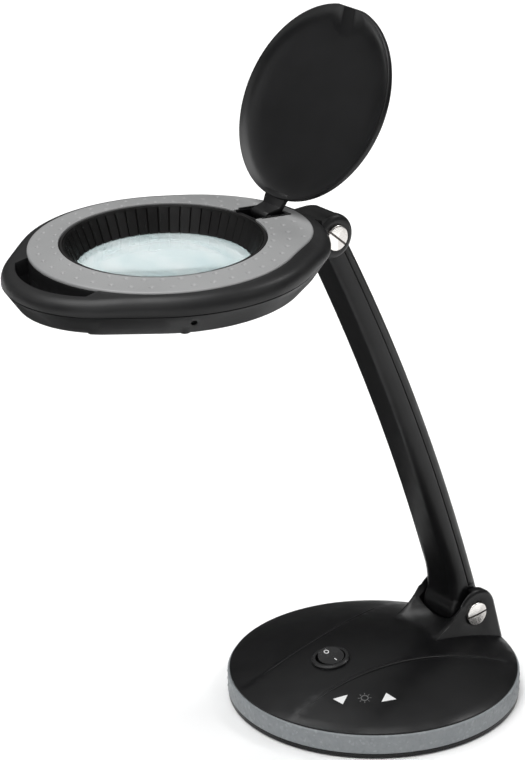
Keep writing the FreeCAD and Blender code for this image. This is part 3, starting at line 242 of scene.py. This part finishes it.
# ---- camera, light and sky ----
def add_camera():
    azimuth, elevation = math.radians(CAMERA_AZIMUTH), math.radians(CAMERA_ELEVATION)
    back = Vector((math.sin(azimuth) * math.cos(elevation), -math.cos(azimuth) * math.cos(elevation),
                   math.sin(elevation)))
    right = Vector((math.cos(azimuth), math.sin(azimuth), 0))
    up = back.cross(right)
    roll = math.radians(CAMERA_ROLL)
    rolled_right = right * math.cos(roll) + up * math.sin(roll)
    rolled_up = up * math.cos(roll) - right * math.sin(roll)
    camera = add_object("camera", bpy.data.cameras.new("camera"))
    axes = Matrix((rolled_right, rolled_up, back)).transposed().to_4x4()
    place = back * CAMERA_DISTANCE + rolled_right * CAMERA_RIGHT + rolled_up * CAMERA_UP
    camera.matrix_world = Matrix.Translation(place) @ axes
    camera.data.sensor_width = SENSOR_WIDTH
    camera.data.lens = FOCAL_LENGTH
    camera.data.clip_start = CLIP_START
    camera.data.clip_end = CLIP_END
    bpy.context.scene.camera = camera


def add_softbox(name, place, aim, size, power):
    lamp = bpy.data.lights.new(name, "AREA")
    lamp.shape = "RECTANGLE"
    lamp.size, lamp.size_y = size
    lamp.energy = power
    holder = add_object(name, lamp)
    holder.location = place
    holder.rotation_euler = (Vector(aim) - Vector(place)).to_track_quat("-Z", "Y").to_euler()


def add_sun(name, towards, strength, spread):
    lamp = bpy.data.lights.new(name, "SUN")
    lamp.energy = strength
    lamp.angle = math.radians(spread)
    holder = add_object(name, lamp)
    holder.rotation_euler = Vector(towards).to_track_quat("-Z", "Y").to_euler()


def add_sky():
    """A grey studio sky, dark at the horizon and paler overhead."""
    world = bpy.data.worlds.new("studio")
    world.use_nodes = True
    tree = world.node_tree
    direction = tree.nodes.new("ShaderNodeTexCoord").outputs["Generated"]
    split = tree.nodes.new("ShaderNodeSeparateXYZ")
    tree.links.new(direction, split.inputs["Vector"])
    ramp = tree.nodes.new("ShaderNodeValToRGB")
    tree.links.new(split.outputs["Z"], ramp.inputs["Fac"])
    stops = ramp.color_ramp.elements
    for position, level in SKY_LEVELS:
        stop = stops.new(position) if 0 < position < 1 else stops[int(position)]
        stop.position = position
        stop.color = (level, level, level, 1)
    background = tree.nodes["Background"]
    tree.links.new(ramp.outputs["Color"], background.inputs["Color"])
    background.inputs["Strength"].default_value = 1.0
    bpy.context.scene.world = world


def stage_sheet(name, corners, look, reflected_only=False):
    """A four-cornered sheet of the set. One that is only reflected darkens glossy plastic."""
    mesh = bpy.data.meshes.new(name)
    mesh.from_pydata(corners, [], [(0, 1, 2, 3)])
    mesh.materials.append(look)
    sheet = add_object(name, mesh)
    if reflected_only:
        sheet.visible_camera = False
        sheet.visible_diffuse = False
        sheet.visible_shadow = False
        sheet.visible_transmission = False


# ---- shader helpers ----
class Shader:
    """A node tree under construction, with its Principled shader."""

    def __init__(self, name, colour, roughness, **sockets):
        self.material = bpy.data.materials.new(name)
        self.material.use_nodes = True
        self.tree = self.material.node_tree
        self.surface = self.tree.nodes["Principled BSDF"]
        self.surface.inputs["Base Color"].default_value = (*colour, 1)
        self.surface.inputs["Roughness"].default_value = roughness
        for socket, value in sockets.items():
            self.surface.inputs[socket.replace("_", " ")].default_value = value
        self.place = self.node("ShaderNodeTexCoord").outputs["Object"]
        self.height = None

    def node(self, kind, inputs=None, **settings):
        made = self.tree.nodes.new(kind)
        for key, value in settings.items():
            setattr(made, key, value)
        for key, value in (inputs or {}).items():
            if isinstance(value, bpy.types.NodeSocket):
                self.tree.links.new(value, made.inputs[key])
            else:
                made.inputs[key].default_value = value
        return made

    def maths(self, operation, *values):
        return self.node("ShaderNodeMath", dict(enumerate(values)), operation=operation).outputs[0]

    def vector_maths(self, operation, *values):
        return self.node("ShaderNodeVectorMath", dict(enumerate(values)), operation=operation).outputs

    def noise(self, scale, detail=2.0, roughness=0.5, stretch=None):
        place = self.place
        if stretch:
            place = self.node("ShaderNodeMapping", {"Vector": place, "Scale": stretch}).outputs["Vector"]
        return self.node("ShaderNodeTexNoise", {"Vector": place, "Scale": scale, "Detail": detail,
                                                "Roughness": roughness}).outputs["Fac"]

    def ranged(self, value, low, high, from_low=0.3, from_high=0.7):
        return self.node("ShaderNodeMapRange", {"Value": value, "From Min": from_low, "From Max": from_high,
                                                "To Min": low, "To Max": high}).outputs["Result"]

    def blend(self, factor, first, second):
        """A colour mix; either colour may be a socket."""
        mix = self.node("ShaderNodeMix", {"Factor": factor}, data_type="RGBA")
        for key, colour in (("A", first), ("B", second)):
            if isinstance(colour, bpy.types.NodeSocket):
                self.tree.links.new(colour, mix.inputs[key])
            else:
                mix.inputs[key].default_value = (*colour, 1)
        return mix.outputs["Result"]

    def colour_from(self, socket):
        self.tree.links.new(socket, self.surface.inputs["Base Color"])

    def vary_roughness(self, value, low, high):
        self.tree.links.new(self.ranged(value, low, high), self.surface.inputs["Roughness"])

    def vary_colour(self, value, dark, light):
        self.colour_from(self.blend(value, dark, light))

    def add_height(self, value, amount):
        """Adds a height in metres times the 0 to 1 value to what the bump uses."""
        scaled = self.maths("MULTIPLY", value, amount)
        self.height = scaled if self.height is None else self.maths("ADD", self.height, scaled)

    def finish(self, edge=0.0):
        """Joins the rounded edge and the bump to the shader, and gives back the material."""
        normal = None
        if edge:
            normal = self.node("ShaderNodeBevel", {"Radius": edge}, samples=4).outputs["Normal"]
        if self.height is not None:
            bump = self.node("ShaderNodeBump", {"Height": self.height, "Distance": 1.0, "Strength": 1.0})
            if normal is not None:
                self.tree.links.new(normal, bump.inputs["Normal"])
            normal = bump.outputs["Normal"]
        if normal is not None:
            self.tree.links.new(normal, self.surface.inputs["Normal"])
        return self.material


def moulded(name, dark, light, roughness, grain=GRAIN_HEIGHT, grain_scale=GRAIN_SCALE, edge=MOULDED_EDGE,
            **sockets):
    """Injection-moulded plastic: spark-eroded grain, faint flow mottling and uneven sheen."""
    shader = Shader(name, dark, roughness, **sockets)
    flow = shader.noise(FLOW_SCALE, 3.0, stretch=FLOW_STRETCH)
    shader.vary_colour(shader.ranged(flow, 0.0, 1.0), dark, light)
    shader.vary_roughness(shader.noise(SHEEN_SCALE, 4.0), roughness - 0.05, roughness + 0.06)
    shader.add_height(shader.noise(grain_scale, 2.0), grain)
    shader.add_height(shader.noise(PEEL_SCALE, 2.0), grain * PEEL_SHARE)
    return shader.finish(edge)


def speckled(name, dark, light, fleck, roughness, grain):
    """Grey plastic with sparse pale flecks, soft mottling and a fine eroded grain."""
    shader = Shader(name, dark, roughness)
    cells = shader.node("ShaderNodeTexVoronoi", {"Vector": shader.place, "Scale": FLECK_SCALE})
    cell_value = shader.node("ShaderNodeSeparateColor", {"Color": cells.outputs["Color"]}).outputs[0]
    fleck_mask = shader.ranged(cell_value, 0.0, 0.6, 0.86, 1.0)
    mottle = shader.ranged(shader.noise(260.0, 4.0, 0.7), 0.0, 1.0)
    shader.colour_from(shader.blend(fleck_mask, shader.blend(mottle, dark, light), fleck))
    shader.vary_roughness(shader.noise(300.0, 3.0), roughness - 0.06, roughness + 0.08)
    shader.add_height(shader.noise(1100.0, 2.0), grain)
    return shader.finish(SPECKLED_EDGE)


def metal(name, colour, roughness, scratch=0.000004):
    """Metal with uneven polish, a faint tint and fine scratches."""
    shader = Shader(name, colour, roughness, Metallic=1.0)
    shader.vary_roughness(shader.noise(700.0, 3.0), roughness * 0.7, roughness * 1.4)
    tint = shader.ranged(shader.noise(90.0, 2.0), 0.0, 1.0)
    shader.vary_colour(tint, tuple(part * 0.9 for part in colour), colour)
    shader.add_height(shader.noise(1600.0, 2.0), scratch)
    return shader.finish(METAL_EDGE)


def hinge_point(node):
    """The hinge axis point of a screw: its own box centre, on the symmetry plane."""
    low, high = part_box(node)
    return Vector((0, (low[1] + high[1]) / 2, (low[2] + high[2]) / 2))


def turned_chrome(name):
    """Chrome with fine concentric turning marks about the hinge axes, and painted reflection: the base
    colour is brighter and darker by sector round each axis.
    """
    shader = Shader(name, (0.8, 0.78, 0.76), 0.2, Metallic=1.0)
    waves, painted_reflection_sectors = [], []
    for node in ("base_hinge_screw", "head_hinge_screw"):
        local = shader.vector_maths("SUBTRACT", shader.place, hinge_point(node))[0]
        flat = shader.vector_maths("MULTIPLY", local, (0, 1, 1))[0]
        away = shader.vector_maths("LENGTH", flat)["Value"]
        near = shader.maths("LESS_THAN", away, SCREW_REACH)
        wave = shader.maths("SINE", shader.maths("MULTIPLY", away, TURNING_PITCH))
        axes = shader.node("ShaderNodeSeparateXYZ", {"Vector": flat}).outputs
        lean = shader.maths("ARCTAN2", axes["Y"], axes["Z"])
        waves.append(shader.maths("MULTIPLY", wave, near))
        painted_reflection_sectors.append(shader.maths("MULTIPLY", shader.ranged(lean, 0.0, 1.0, 0.3, 0.75), near))
    # painted reflection: the base colour runs from pale to darker with the angle round each screw's axis,
    # standing in for the turned face's sector-shaped reflections
    shader.vary_colour(shader.maths("ADD", *painted_reflection_sectors), (0.84, 0.82, 0.79), (0.62, 0.60, 0.58))
    shader.vary_roughness(shader.noise(700.0, 3.0), 0.16, 0.26)
    shader.add_height(shader.maths("ADD", *waves), TURNING_HEIGHT)
    return shader.finish()


def streaked_glass(name):
    """Pale blue-green lens glass with faint concentric and straight polishing streaks."""
    shader = Shader(name, (0.84, 0.92, 0.92), 0.03, IOR=1.5, Transmission_Weight=0.72)
    centre = TO_HEAD @ Vector((0, 0, 0))
    local = shader.node("ShaderNodeMapping", {"Vector": shader.place, "Location": -centre}).outputs["Vector"]
    rings = shader.node("ShaderNodeTexWave", {"Vector": local, "Scale": 22.0, "Distortion": 1.2,
                                              "Detail": 2.0, "Detail Scale": 3.0},
                        wave_type="RINGS", rings_direction="Z").outputs["Fac"]
    streaks = shader.noise(26.0, 3.0, stretch=(0.5, 3.2, 1.0))
    pale = shader.blend(shader.ranged(streaks, 0.0, 1.0), (0.66, 0.79, 0.80), (0.86, 0.915, 0.915))
    ring_mask = shader.ranged(rings, 0.0, 0.35, 0.55, 1.0)
    shader.colour_from(shader.blend(ring_mask, pale, (0.62, 0.76, 0.77)))
    shader.vary_roughness(streaks, 0.02, 0.09)
    shader.add_height(rings, 0.000012)
    return shader.finish()


# ---- mesh helpers ----
def mesh_of(work, name):
    """Turns the bmesh into a mesh and frees it."""
    mesh = bpy.data.meshes.new(name)
    work.to_mesh(mesh)
    work.free()
    return mesh


def finish_mesh(mesh):
    """Consistent outward normals and smooth shading that breaks at sharp edges."""
    work = bmesh.new()
    work.from_mesh(mesh)
    bmesh.ops.recalc_face_normals(work, faces=work.faces)
    for face in work.faces:
        face.smooth = True
    for edge in work.edges:
        if len(edge.link_faces) == 2:
            edge.smooth = edge.calc_face_angle(0.0) < SMOOTH_BELOW
    work.to_mesh(mesh)
    work.free()
    return mesh


def swept(name, columns, rows, at):
    """A closed hoop of quads: at(column, row) in millimetres, rows running round the closed section."""
    vertices = [Vector(at(column, row)) * MM for column in range(columns) for row in range(rows)]
    faces = []
    for column in range(columns):
        following = (column + 1) % columns
        for row in range(rows):
            above = (row + 1) % rows
            faces.append((column * rows + row, following * rows + row, following * rows + above,
                          column * rows + above))
    mesh = bpy.data.meshes.new(name)
    mesh.from_pydata(vertices, [], faces)
    return mesh


def box_mesh(name, low, high, bevel=0.0):
    """A box between two corners in millimetres, optionally with rounded edges."""
    work = bmesh.new()
    bmesh.ops.create_cube(work, size=1.0)
    low, high = Vector(low) * MM, Vector(high) * MM
    for vertex in work.verts:
        vertex.co = Vector([low[i] if vertex.co[i] < 0 else high[i] for i in range(3)])
    if bevel:
        bmesh.ops.bevel(work, geom=work.edges[:], offset=bevel * MM, segments=3, affect="EDGES", profile=0.5)
    return finish_mesh(mesh_of(work, name))


def cylinder_mesh(name, radius, start, end):
    """A cylinder between two points in millimetres."""
    start, end = Vector(start) * MM, Vector(end) * MM
    along = end - start
    work = bmesh.new()
    bmesh.ops.create_cone(work, cap_ends=True, segments=CYLINDER_SIDES, radius1=radius * MM,
                          radius2=radius * MM, depth=along.length)
    turn = along.to_track_quat("Z", "Y").to_matrix().to_4x4()
    bmesh.ops.transform(work, matrix=Matrix.Translation((start + end) / 2) @ turn, verts=work.verts)
    return mesh_of(work, name)


def carve(mesh, cutter):
    """Cuts the cutter mesh out of a mesh and gives back the new mesh."""
    target = add_object("carve_target", mesh)
    helper = add_object("cutter", cutter)
    step = target.modifiers.new("cut", "BOOLEAN")
    step.object = helper
    step.operation = "DIFFERENCE"
    step.solver = "EXACT"
    bpy.context.view_layer.update()
    done = bpy.data.meshes.new_from_object(target.evaluated_get(bpy.context.evaluated_depsgraph_get()))
    bpy.data.objects.remove(target)
    bpy.data.objects.remove(helper)
    return finish_mesh(done)


# ---- pieces ----
def set_material(material, *nodes):
    for name in nodes:
        mesh = frame["nodes"][name].data
        mesh.materials.clear()
        mesh.materials.append(material)


def new_piece(name, mesh, material, body, replaces=None):
    """Adds a mesh as a piece of the lamp. With no material given, the mesh keeps its own."""
    piece = add_object(name, mesh)
    if material:
        mesh.materials.clear()
        mesh.materials.append(material)
    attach(piece, body)
    if replaces:
        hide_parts(replaces)


def rounded_copy(node, width, material, segments=2):
    """A copy of a CAD piece whose sharp edges are really rounded over; it stands in for the CAD piece."""
    source = frame["nodes"][node]
    work = bmesh.new()
    work.from_mesh(source.data)
    bmesh.ops.remove_doubles(work, verts=work.verts, dist=WELD_DISTANCE)
    sharp = [edge for edge in work.edges
             if len(edge.link_faces) == 2 and edge.calc_face_angle(0.0) > ROUND_ABOVE]
    bmesh.ops.bevel(work, geom=sharp, offset=width * MM, segments=segments, affect="EDGES", profile=0.5,
                    clamp_overlap=True)
    mesh = finish_mesh(mesh_of(work, node + "_rounded"))
    new_piece(node + "_rounded", mesh, material, source["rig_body"], node)


def nearest_mark(angle, row_index, per_row):
    """The angle from the nearest mark of a ring of marks; every other row is staggered by half a pitch."""
    pitch = 2 * math.pi / per_row
    return ((angle / pitch + 0.5 * (row_index % 2) + 0.5) % 1.0 - 0.5) * pitch


# ---- trim ring: sloping face with staggered dimples and a rolled outer edge ----
def ring_face(radius):
    """Height of the ring's plain face at a distance from the opening's centre."""
    return -(radius - RING_INNER) * RING_SLOPE


def ring_outline(angle):
    """Distance from the opening's centre to the ring's outer edge in one direction.

    The edge wraps circles that shrink from the front radius to the rear one as their centre moves back."""
    reach = 0.0
    for step in range(OUTLINE_STEPS + 1):
        share = step / OUTLINE_STEPS
        centre = RING_REAR_CENTRE * share
        radius = RING_FRONT_RADIUS + (RING_REAR_RADIUS - RING_FRONT_RADIUS) * share
        across = centre * math.cos(angle)
        if abs(across) < radius:
            reach = max(reach, centre * math.sin(angle) + math.sqrt(radius ** 2 - across ** 2))
    return reach


def dimple_depth(radius, angle, outline):
    """How far the face is pressed in at a point."""
    depth = 0.0
    for index, row in enumerate(DIMPLE_ROWS):
        if abs(radius - row) > DIMPLE_RADIUS or row > outline - DIMPLE_EDGE_GAP:
            continue
        turn = nearest_mark(angle, index, DIMPLES_PER_ROW)
        away = math.hypot((radius - row) * DIMPLE_SQUASH, turn * row) / DIMPLE_RADIUS
        if away < 1.0:
            depth = max(depth, DIMPLE_DEPTH * (1 - away ** 2))
    return depth


def trim_ring_mesh():
    columns, across = ((1080, 46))
    rolled, lip_steps = 6, 3
    outer_foot = across + rolled + 1
    inner_foot = outer_foot + 1
    angles = [2 * math.pi * column / columns for column in range(columns)]
    outlines = [ring_outline(angle) for angle in angles]

    def at(column, row):
        angle, outline = angles[column], outlines[column]
        flat_in, flat_out = RING_INNER + RING_LIP, outline - RING_EDGE_RADIUS
        if row <= across:
            radius = flat_in + (flat_out - flat_in) * row / across
            height = ring_face(radius) - dimple_depth(radius, angle, outline)
        elif row <= across + rolled:
            turn = math.pi / 2 * (row - across) / rolled
            radius = flat_out + RING_EDGE_RADIUS * math.sin(turn)
            height = ring_face(flat_out) - RING_EDGE_RADIUS * (1 - math.cos(turn)) * RING_EDGE_DROP
        elif row == outer_foot:
            radius, height = outline, ring_face(outline) - RING_THICKNESS
        elif row == inner_foot:
            radius, height = RING_INNER, -RING_THICKNESS
        else:
            turn = math.pi / 2 * (row - inner_foot - 1) / lip_steps
            radius = RING_INNER + RING_LIP * (1 - math.cos(turn))
            height = -RING_LIP * (1 - math.sin(turn))
        return radius * math.cos(angle), radius * math.sin(angle), height
    ring = finish_mesh(swept("trim_ring", columns, inner_foot + 1 + lip_steps, at))
    notch = box_mesh("notch", (-POCKET_HALF, POCKET_FRONT, POCKET_LOW),
                     (POCKET_HALF, POCKET_REAR, POCKET_HIGH))
    ring = carve(ring, notch)
    ring.transform(TO_HEAD)
    return ring


# ---- raised frame round the lid's hinge pocket ----
def pocket_frame_mesh():
    """Three rounded bars, left, right and behind the pocket, standing a little proud of the ring."""
    bars = [((-FRAME_OUTSIDE, FRAME_FRONT), (-FRAME_INSIDE, FRAME_REAR)),
            ((FRAME_INSIDE, FRAME_FRONT), (FRAME_OUTSIDE, FRAME_REAR)),
            ((-REAR_BAR_HALF, REAR_BAR_FRONT), (REAR_BAR_HALF, FRAME_REAR))]
    whole = bmesh.new()
    for low, high in bars:
        bar = box_mesh("bar", (*low, -FRAME_HEIGHT), (*high, 0), bevel=FRAME_ROUNDING)
        for vertex in bar.vertices:
            foot = 0 if vertex.co.z > -FRAME_HEIGHT / 2 * MM else FRAME_FOOT
            vertex.co.z += (ring_face(vertex.co.y / MM) + FRAME_PROUD - foot) * MM
        whole.from_mesh(bar)
    mesh = mesh_of(whole, "pocket_frame")
    mesh.transform(TO_HEAD)
    return finish_mesh(mesh)


# ---- funnel: lip, shadow groove and a wall of narrow facets with grooves between them ----
def funnel_mesh():
    columns = FACETS * POINTS_PER_FACET
    section = FUNNEL_LIP + FUNNEL_WALL + FUNNEL_OUTSIDE
    first, last = len(FUNNEL_LIP), len(FUNNEL_LIP) + len(FUNNEL_WALL)
    half_angle = math.pi / FACETS

    def at(column, row):
        radius, height = section[row]
        place = (column % POINTS_PER_FACET) / POINTS_PER_FACET
        if first < row < last:
            flat = math.cos(half_angle) / math.cos((place - 0.5) * 2 * half_angle)
            groove = FACET_GROOVE if place == 0 else 0.0
            radius = radius * flat + groove + FACET_LEAN * (0.5 - place)
        angle = 2 * math.pi * column / columns
        return radius * math.cos(angle), radius * math.sin(angle), height
    mesh = swept("funnel", columns, len(section), at)
    mesh.transform(TO_HEAD)
    return finish_mesh(mesh)


# ---- soft ridges along the two creases of the base cover ----
def cover_top(x, y):
    """Height of the dome with its raised middle panel."""
    reach = x * x + y * y
    dome = BASE_APEX - (BASE_APEX - BASE_RIM) * reach / COVER_RADIUS ** 2
    return dome + CREASE_RISE * (1 - reach / PANEL_RADIUS ** 2)


def bead_loop(side, share):
    """One cross-section of a ridge, at a share of its length."""
    y = CREASE_LOW_Y + (CREASE_HIGH_Y - CREASE_LOW_Y) * share
    across = CREASE_RADIUS - math.sqrt(CREASE_RADIUS ** 2 - (y - CREASE_NEAREST_Y) ** 2)
    x = side * (CREASE_NEAREST_X + across)
    middle = cover_top(x, y) - BEAD_SINK
    # the ridge fades in and out over the first and last of BEAD_FADES equal parts
    height = BEAD_HEIGHT * math.sin(math.pi * min(1.0, BEAD_FADES * min(share, 1 - share)) / 2)
    loop = []
    for corner in range(BEAD_SIDES):
        turn = 2 * math.pi * corner / BEAD_SIDES
        loop.append(Vector((x + BEAD_WIDTH * math.cos(turn), y, middle + height * math.sin(turn))) * MM)
    return loop


def crease_bead_mesh():
    """Two slim rounded ridges that follow the arcs between the raised middle and the sides."""
    whole = bmesh.new()
    for side in (-1, 1):
        loops = []
        for station in range(BEAD_STATIONS + 1):
            loops.append([whole.verts.new(point) for point in bead_loop(side, station / BEAD_STATIONS)])
        for first, second in zip(loops, loops[1:]):
            for k in range(BEAD_SIDES):
                following = (k + 1) % BEAD_SIDES
                whole.faces.new((first[k], first[following], second[following], second[k]))
        whole.faces.new(loops[0])
        whole.faces.new(loops[-1])
    return finish_mesh(mesh_of(whole, "crease_beads"))


# ---- base band ----
def band_mesh():
    columns, across = ((1500, 30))

    def at(column, row):
        angle = 2 * math.pi * column / columns
        if row <= across:
            share = row / across
            height = BAND_LOW + (BAND_HIGH - BAND_LOW) * share
            edge = min(share, 1 - share) * (BAND_HIGH - BAND_LOW)
            radius = BAND_RADIUS - BAND_ROUNDING * max(0.0, 1 - edge / BAND_ROUNDING) ** 2
            for index, level in enumerate(DOT_LEVELS):
                turn = nearest_mark(angle, index, DOTS_PER_ROW)
                away = math.hypot(height - level, turn * BAND_RADIUS) / DOT_RADIUS
                if away < 1.0:
                    radius += DOT_HEIGHT * (1 - away ** 2) ** 1.5
        elif row == across + 1:
            radius, height = BAND_INNER, BAND_HIGH
        else:
            radius, height = BAND_INNER, BAND_LOW
        return radius * math.cos(angle), radius * math.sin(angle), height
    hoop = finish_mesh(swept("band", columns, across + 3, at))
    out = Vector((math.cos(SOCKET_AZIMUTH), math.sin(SOCKET_AZIMUTH), 0))
    level = Vector((0, 0, SOCKET_HEIGHT))
    return carve(hoop, cylinder_mesh("socket_hole", SOCKET_RADIUS, out * SOCKET_CUT_FROM + level,
                                     out * SOCKET_CUT_TO + level))


# ---- hinge screws ----
def screw_profile(shank_end):
    """Points (x, radius) from the middle of the dome over the rim and the seat to the end of the shank."""
    profile = []
    for step in range(DOME_STEPS + 1):
        radius = (SCREW_HEAD_RADIUS - SCREW_RIM) * step / DOME_STEPS
        profile.append((SCREW_HEAD_FACE - SCREW_DOME * (radius / SCREW_HEAD_RADIUS) ** 2, radius))
    shoulder = profile[-1][0]
    for step in range(1, RIM_STEPS + 1):
        turn = math.pi / 2 * step / RIM_STEPS
        profile.append((shoulder - SCREW_RIM * (1 - math.cos(turn)),
                        SCREW_HEAD_RADIUS - SCREW_RIM * (1 - math.sin(turn))))
    return profile + [(SCREW_SEAT, SCREW_HEAD_RADIUS), (SCREW_SEAT, SCREW_SHANK_RADIUS),
                      (-shank_end, SCREW_SHANK_RADIUS), (-shank_end, 0)]


def turned_mesh(name, profile):
    """A solid of revolution about X; a point on the axis closes its end."""
    turns = [2 * math.pi * side / SCREW_SIDES for side in range(SCREW_SIDES)]
    work = bmesh.new()
    rings = []
    for x, radius in profile:
        ring_turns = turns if radius else turns[:1]
        rings.append([work.verts.new(Vector((x, radius * math.cos(turn), radius * math.sin(turn))) * MM)
                      for turn in ring_turns])
    for first, second in zip(rings, rings[1:]):
        for side in range(SCREW_SIDES):
            following = (side + 1) % SCREW_SIDES
            corners = [first[side % len(first)], first[following % len(first)],
                       second[following % len(second)], second[side % len(second)]]
            work.faces.new(list(dict.fromkeys(corners)))
    return finish_mesh(mesh_of(work, name))


def screw_mesh(name, centre, slot_angle, shank_end):
    """A hinge screw along X: domed head with a soft rim, straight slot whose faces carry painted shade in a
    darker metal, plain shank.
    """
    slot = box_mesh("slot", (SCREW_HEAD_FACE - SLOT_DEPTH, -SLOT_HALF_LENGTH, -SLOT_HALF_WIDTH),
                    (SCREW_HEAD_FACE + 1, SLOT_HALF_LENGTH, SLOT_HALF_WIDTH))
    slot.transform(Matrix.Rotation(slot_angle, 4, "X"))
    mesh = carve(turned_mesh(name, screw_profile(shank_end)), slot)
    mesh.materials.clear()
    mesh.materials.append(chrome)
    mesh.materials.append(painted_slot_shade)
    # painted shade: faces sunk inside the slot get the darker metal that stands in for the slot's shadow
    for face in mesh.polygons:
        away = math.hypot(face.center.y, face.center.z)
        sunk = SLOT_SHADE_LOW * MM <= face.center.x < SLOT_SHADE_HIGH * MM
        face.material_index = 1 if sunk and away < SLOT_SHADE_RADIUS * MM else 0
    mesh.transform(Matrix.Translation(Vector(centre)))
    return mesh


# ---- build: the set ----
add_camera()
bpy.context.scene.view_settings.view_transform = "Standard"

floor_look = Shader("pale_floor", (0.93, 0.93, 0.93), 0.8, Specular_IOR_Level=0.1)
floor_look.vary_colour(floor_look.noise(30.0, 3.0), (0.92, 0.92, 0.92), (0.94, 0.94, 0.94))
floor_corners = [(-FLOOR_HALF, -FLOOR_HALF, 0), (FLOOR_HALF, -FLOOR_HALF, 0), (FLOOR_HALF, FLOOR_HALF, 0),
                 (-FLOOR_HALF, FLOOR_HALF, 0)]
stage_sheet("floor", floor_corners, floor_look.finish())

card_look = Shader("dark_card", (0.03, 0.03, 0.03), 0.9)
card_look.vary_colour(card_look.noise(40.0, 2.0), (0.025, 0.025, 0.025), (0.035, 0.035, 0.035))
card_material = card_look.finish()
for card, corners in FLOOR_CARDS.items():
    stage_sheet(card, [(*corner, CARD_LIFT) for corner in corners], card_material, reflected_only=True)
for card, (left, right, top) in BACK_CARDS.items():
    stage_sheet(card, [(*left, 0), (*right, 0), (*right, top), (*left, top)], card_material,
                reflected_only=True)

add_sky()
for sun in SUNS:
    add_sun(*sun)
for softbox in SOFTBOXES:
    add_softbox(*softbox)

# ---- build: materials ----
SHEEN = {"Specular_IOR_Level": 0.3}
black = moulded("black_moulding", (0.0032, 0.0032, 0.0035), (0.0055, 0.0055, 0.006), 0.33, **SHEEN)
head_black = moulded("head_black_moulding", (0.008, 0.008, 0.0083), (0.0115, 0.0115, 0.012), 0.4, **SHEEN)
black_gloss = moulded("black_gloss_moulding", (0.008, 0.008, 0.0085), (0.012, 0.012, 0.0125), 0.3,
                      grain=0.000006)
deep_black = moulded("deep_black_moulding", (0.0045, 0.004, 0.004), (0.007, 0.0065, 0.0065), 0.42, **SHEEN)
grey = moulded("grey_moulding", (0.24, 0.242, 0.243), (0.275, 0.277, 0.278), 0.42, grain=0.000025)
band_grey = speckled("speckled_grey", (0.20, 0.215, 0.225), (0.235, 0.25, 0.26), (0.30, 0.32, 0.33), 0.5,
                     0.00002)
chrome = turned_chrome("turned_chrome")
# painted shade: a darker metal for the slot faces, standing in for the shadow inside the slot
painted_slot_shade = metal("slot_shadow", (0.12, 0.11, 0.105), 0.45)
steel = metal("zinc_steel", (0.55, 0.55, 0.57), 0.35, scratch=0.00001)
brass = metal("sintered_brass", (0.6, 0.45, 0.2), 0.4, scratch=0.00001)
rubber = moulded("rubber", (0.02, 0.02, 0.02), (0.03, 0.03, 0.03), 0.8, grain=0.00004)
print_white = moulded("print_white", (0.72, 0.72, 0.72), (0.82, 0.82, 0.82), 0.5, grain=0.000004, edge=0.0)
print_grey = moulded("print_grey", (0.10, 0.10, 0.10), (0.15, 0.15, 0.15), 0.5, grain=0.000004, edge=0.0)
frosted = moulded("frosted_white", (0.84, 0.86, 0.86), (0.9, 0.92, 0.92), 0.5, grain=0.00001)
board = moulded("circuit_board", (0.01, 0.09, 0.03), (0.02, 0.13, 0.05), 0.4)
cast = moulded("cast_iron", (0.05, 0.05, 0.052), (0.09, 0.09, 0.09), 0.7, grain=0.0001, grain_scale=500.0)
phosphor = moulded("led_phosphor", (0.8, 0.7, 0.3), (0.85, 0.75, 0.4), 0.5)
lens_glass = streaked_glass("lens_glass")

set_material(black, "base_bottom_cover", "dc_socket", "lid_hinge_bracket")
set_material(black_gloss, "switch_housing", "switch_rocker")
set_material(deep_black, "driver_components")
set_material(grey, "lower_hinge_washers", "upper_hinge_washers")
set_material(chrome, "base_hinge_screw", "head_hinge_screw")
set_material(steel, "base_hinge_nut", "base_screws", "head_screws", "arm_screws", "lid_hinge_pin",
             "switch_terminals")
set_material(brass, "lower_hinge_bush", "upper_hinge_bush", "head_hinge_insert")
set_material(rubber, "non_slip_ring", "arm_cable")
set_material(print_white, "dim_mark", "bright_mark", "rocker_marks")
set_material(print_grey, "sun_mark")
set_material(frosted, "diffuser_ring", "lens_retainer", "led_board")
set_material(board, "touch_board", "driver_board")
set_material(cast, "ballast_plate")
set_material(phosphor, "led_chips")
set_material(lens_glass, "lens")

# ---- build: visual pieces that stand in for plain CAD ones, and the two that only add to them ----
for node, look in (("head_upper_shell", head_black), ("head_lower_shell", head_black),
                   ("arm_front_shell", black), ("arm_rear_cover", deep_black)):
    rounded_copy(node, SHELL_ROUNDING, look)
rounded_copy("base_top_cover", COVER_ROUNDING, black, segments=3)
rounded_copy("lid_cover", LID_ROUNDING, black)
lower_screw = screw_mesh("lower_screw", hinge_point("base_hinge_screw"), LOWER_SLOT_ANGLE, LOWER_SHANK_END)
new_piece("lower_screw_domed", lower_screw, None, "base", "base_hinge_screw")
upper_screw = screw_mesh("upper_screw", hinge_point("head_hinge_screw"), UPPER_SLOT_ANGLE, UPPER_SHANK_END)
new_piece("upper_screw_domed", upper_screw, None, "head", "head_hinge_screw")
new_piece("crease_beads", crease_bead_mesh(), black, "base")
new_piece("pocket_frame", pocket_frame_mesh(), black, "head")
new_piece("trim_ring_dimpled", trim_ring_mesh(), grey, "head", "top_trim_ring")
new_piece("funnel_ribbed", funnel_mesh(), deep_black, "head", "lens_funnel")
new_piece("band_dotted", band_mesh(), band_grey, "base", "base_trim_band")
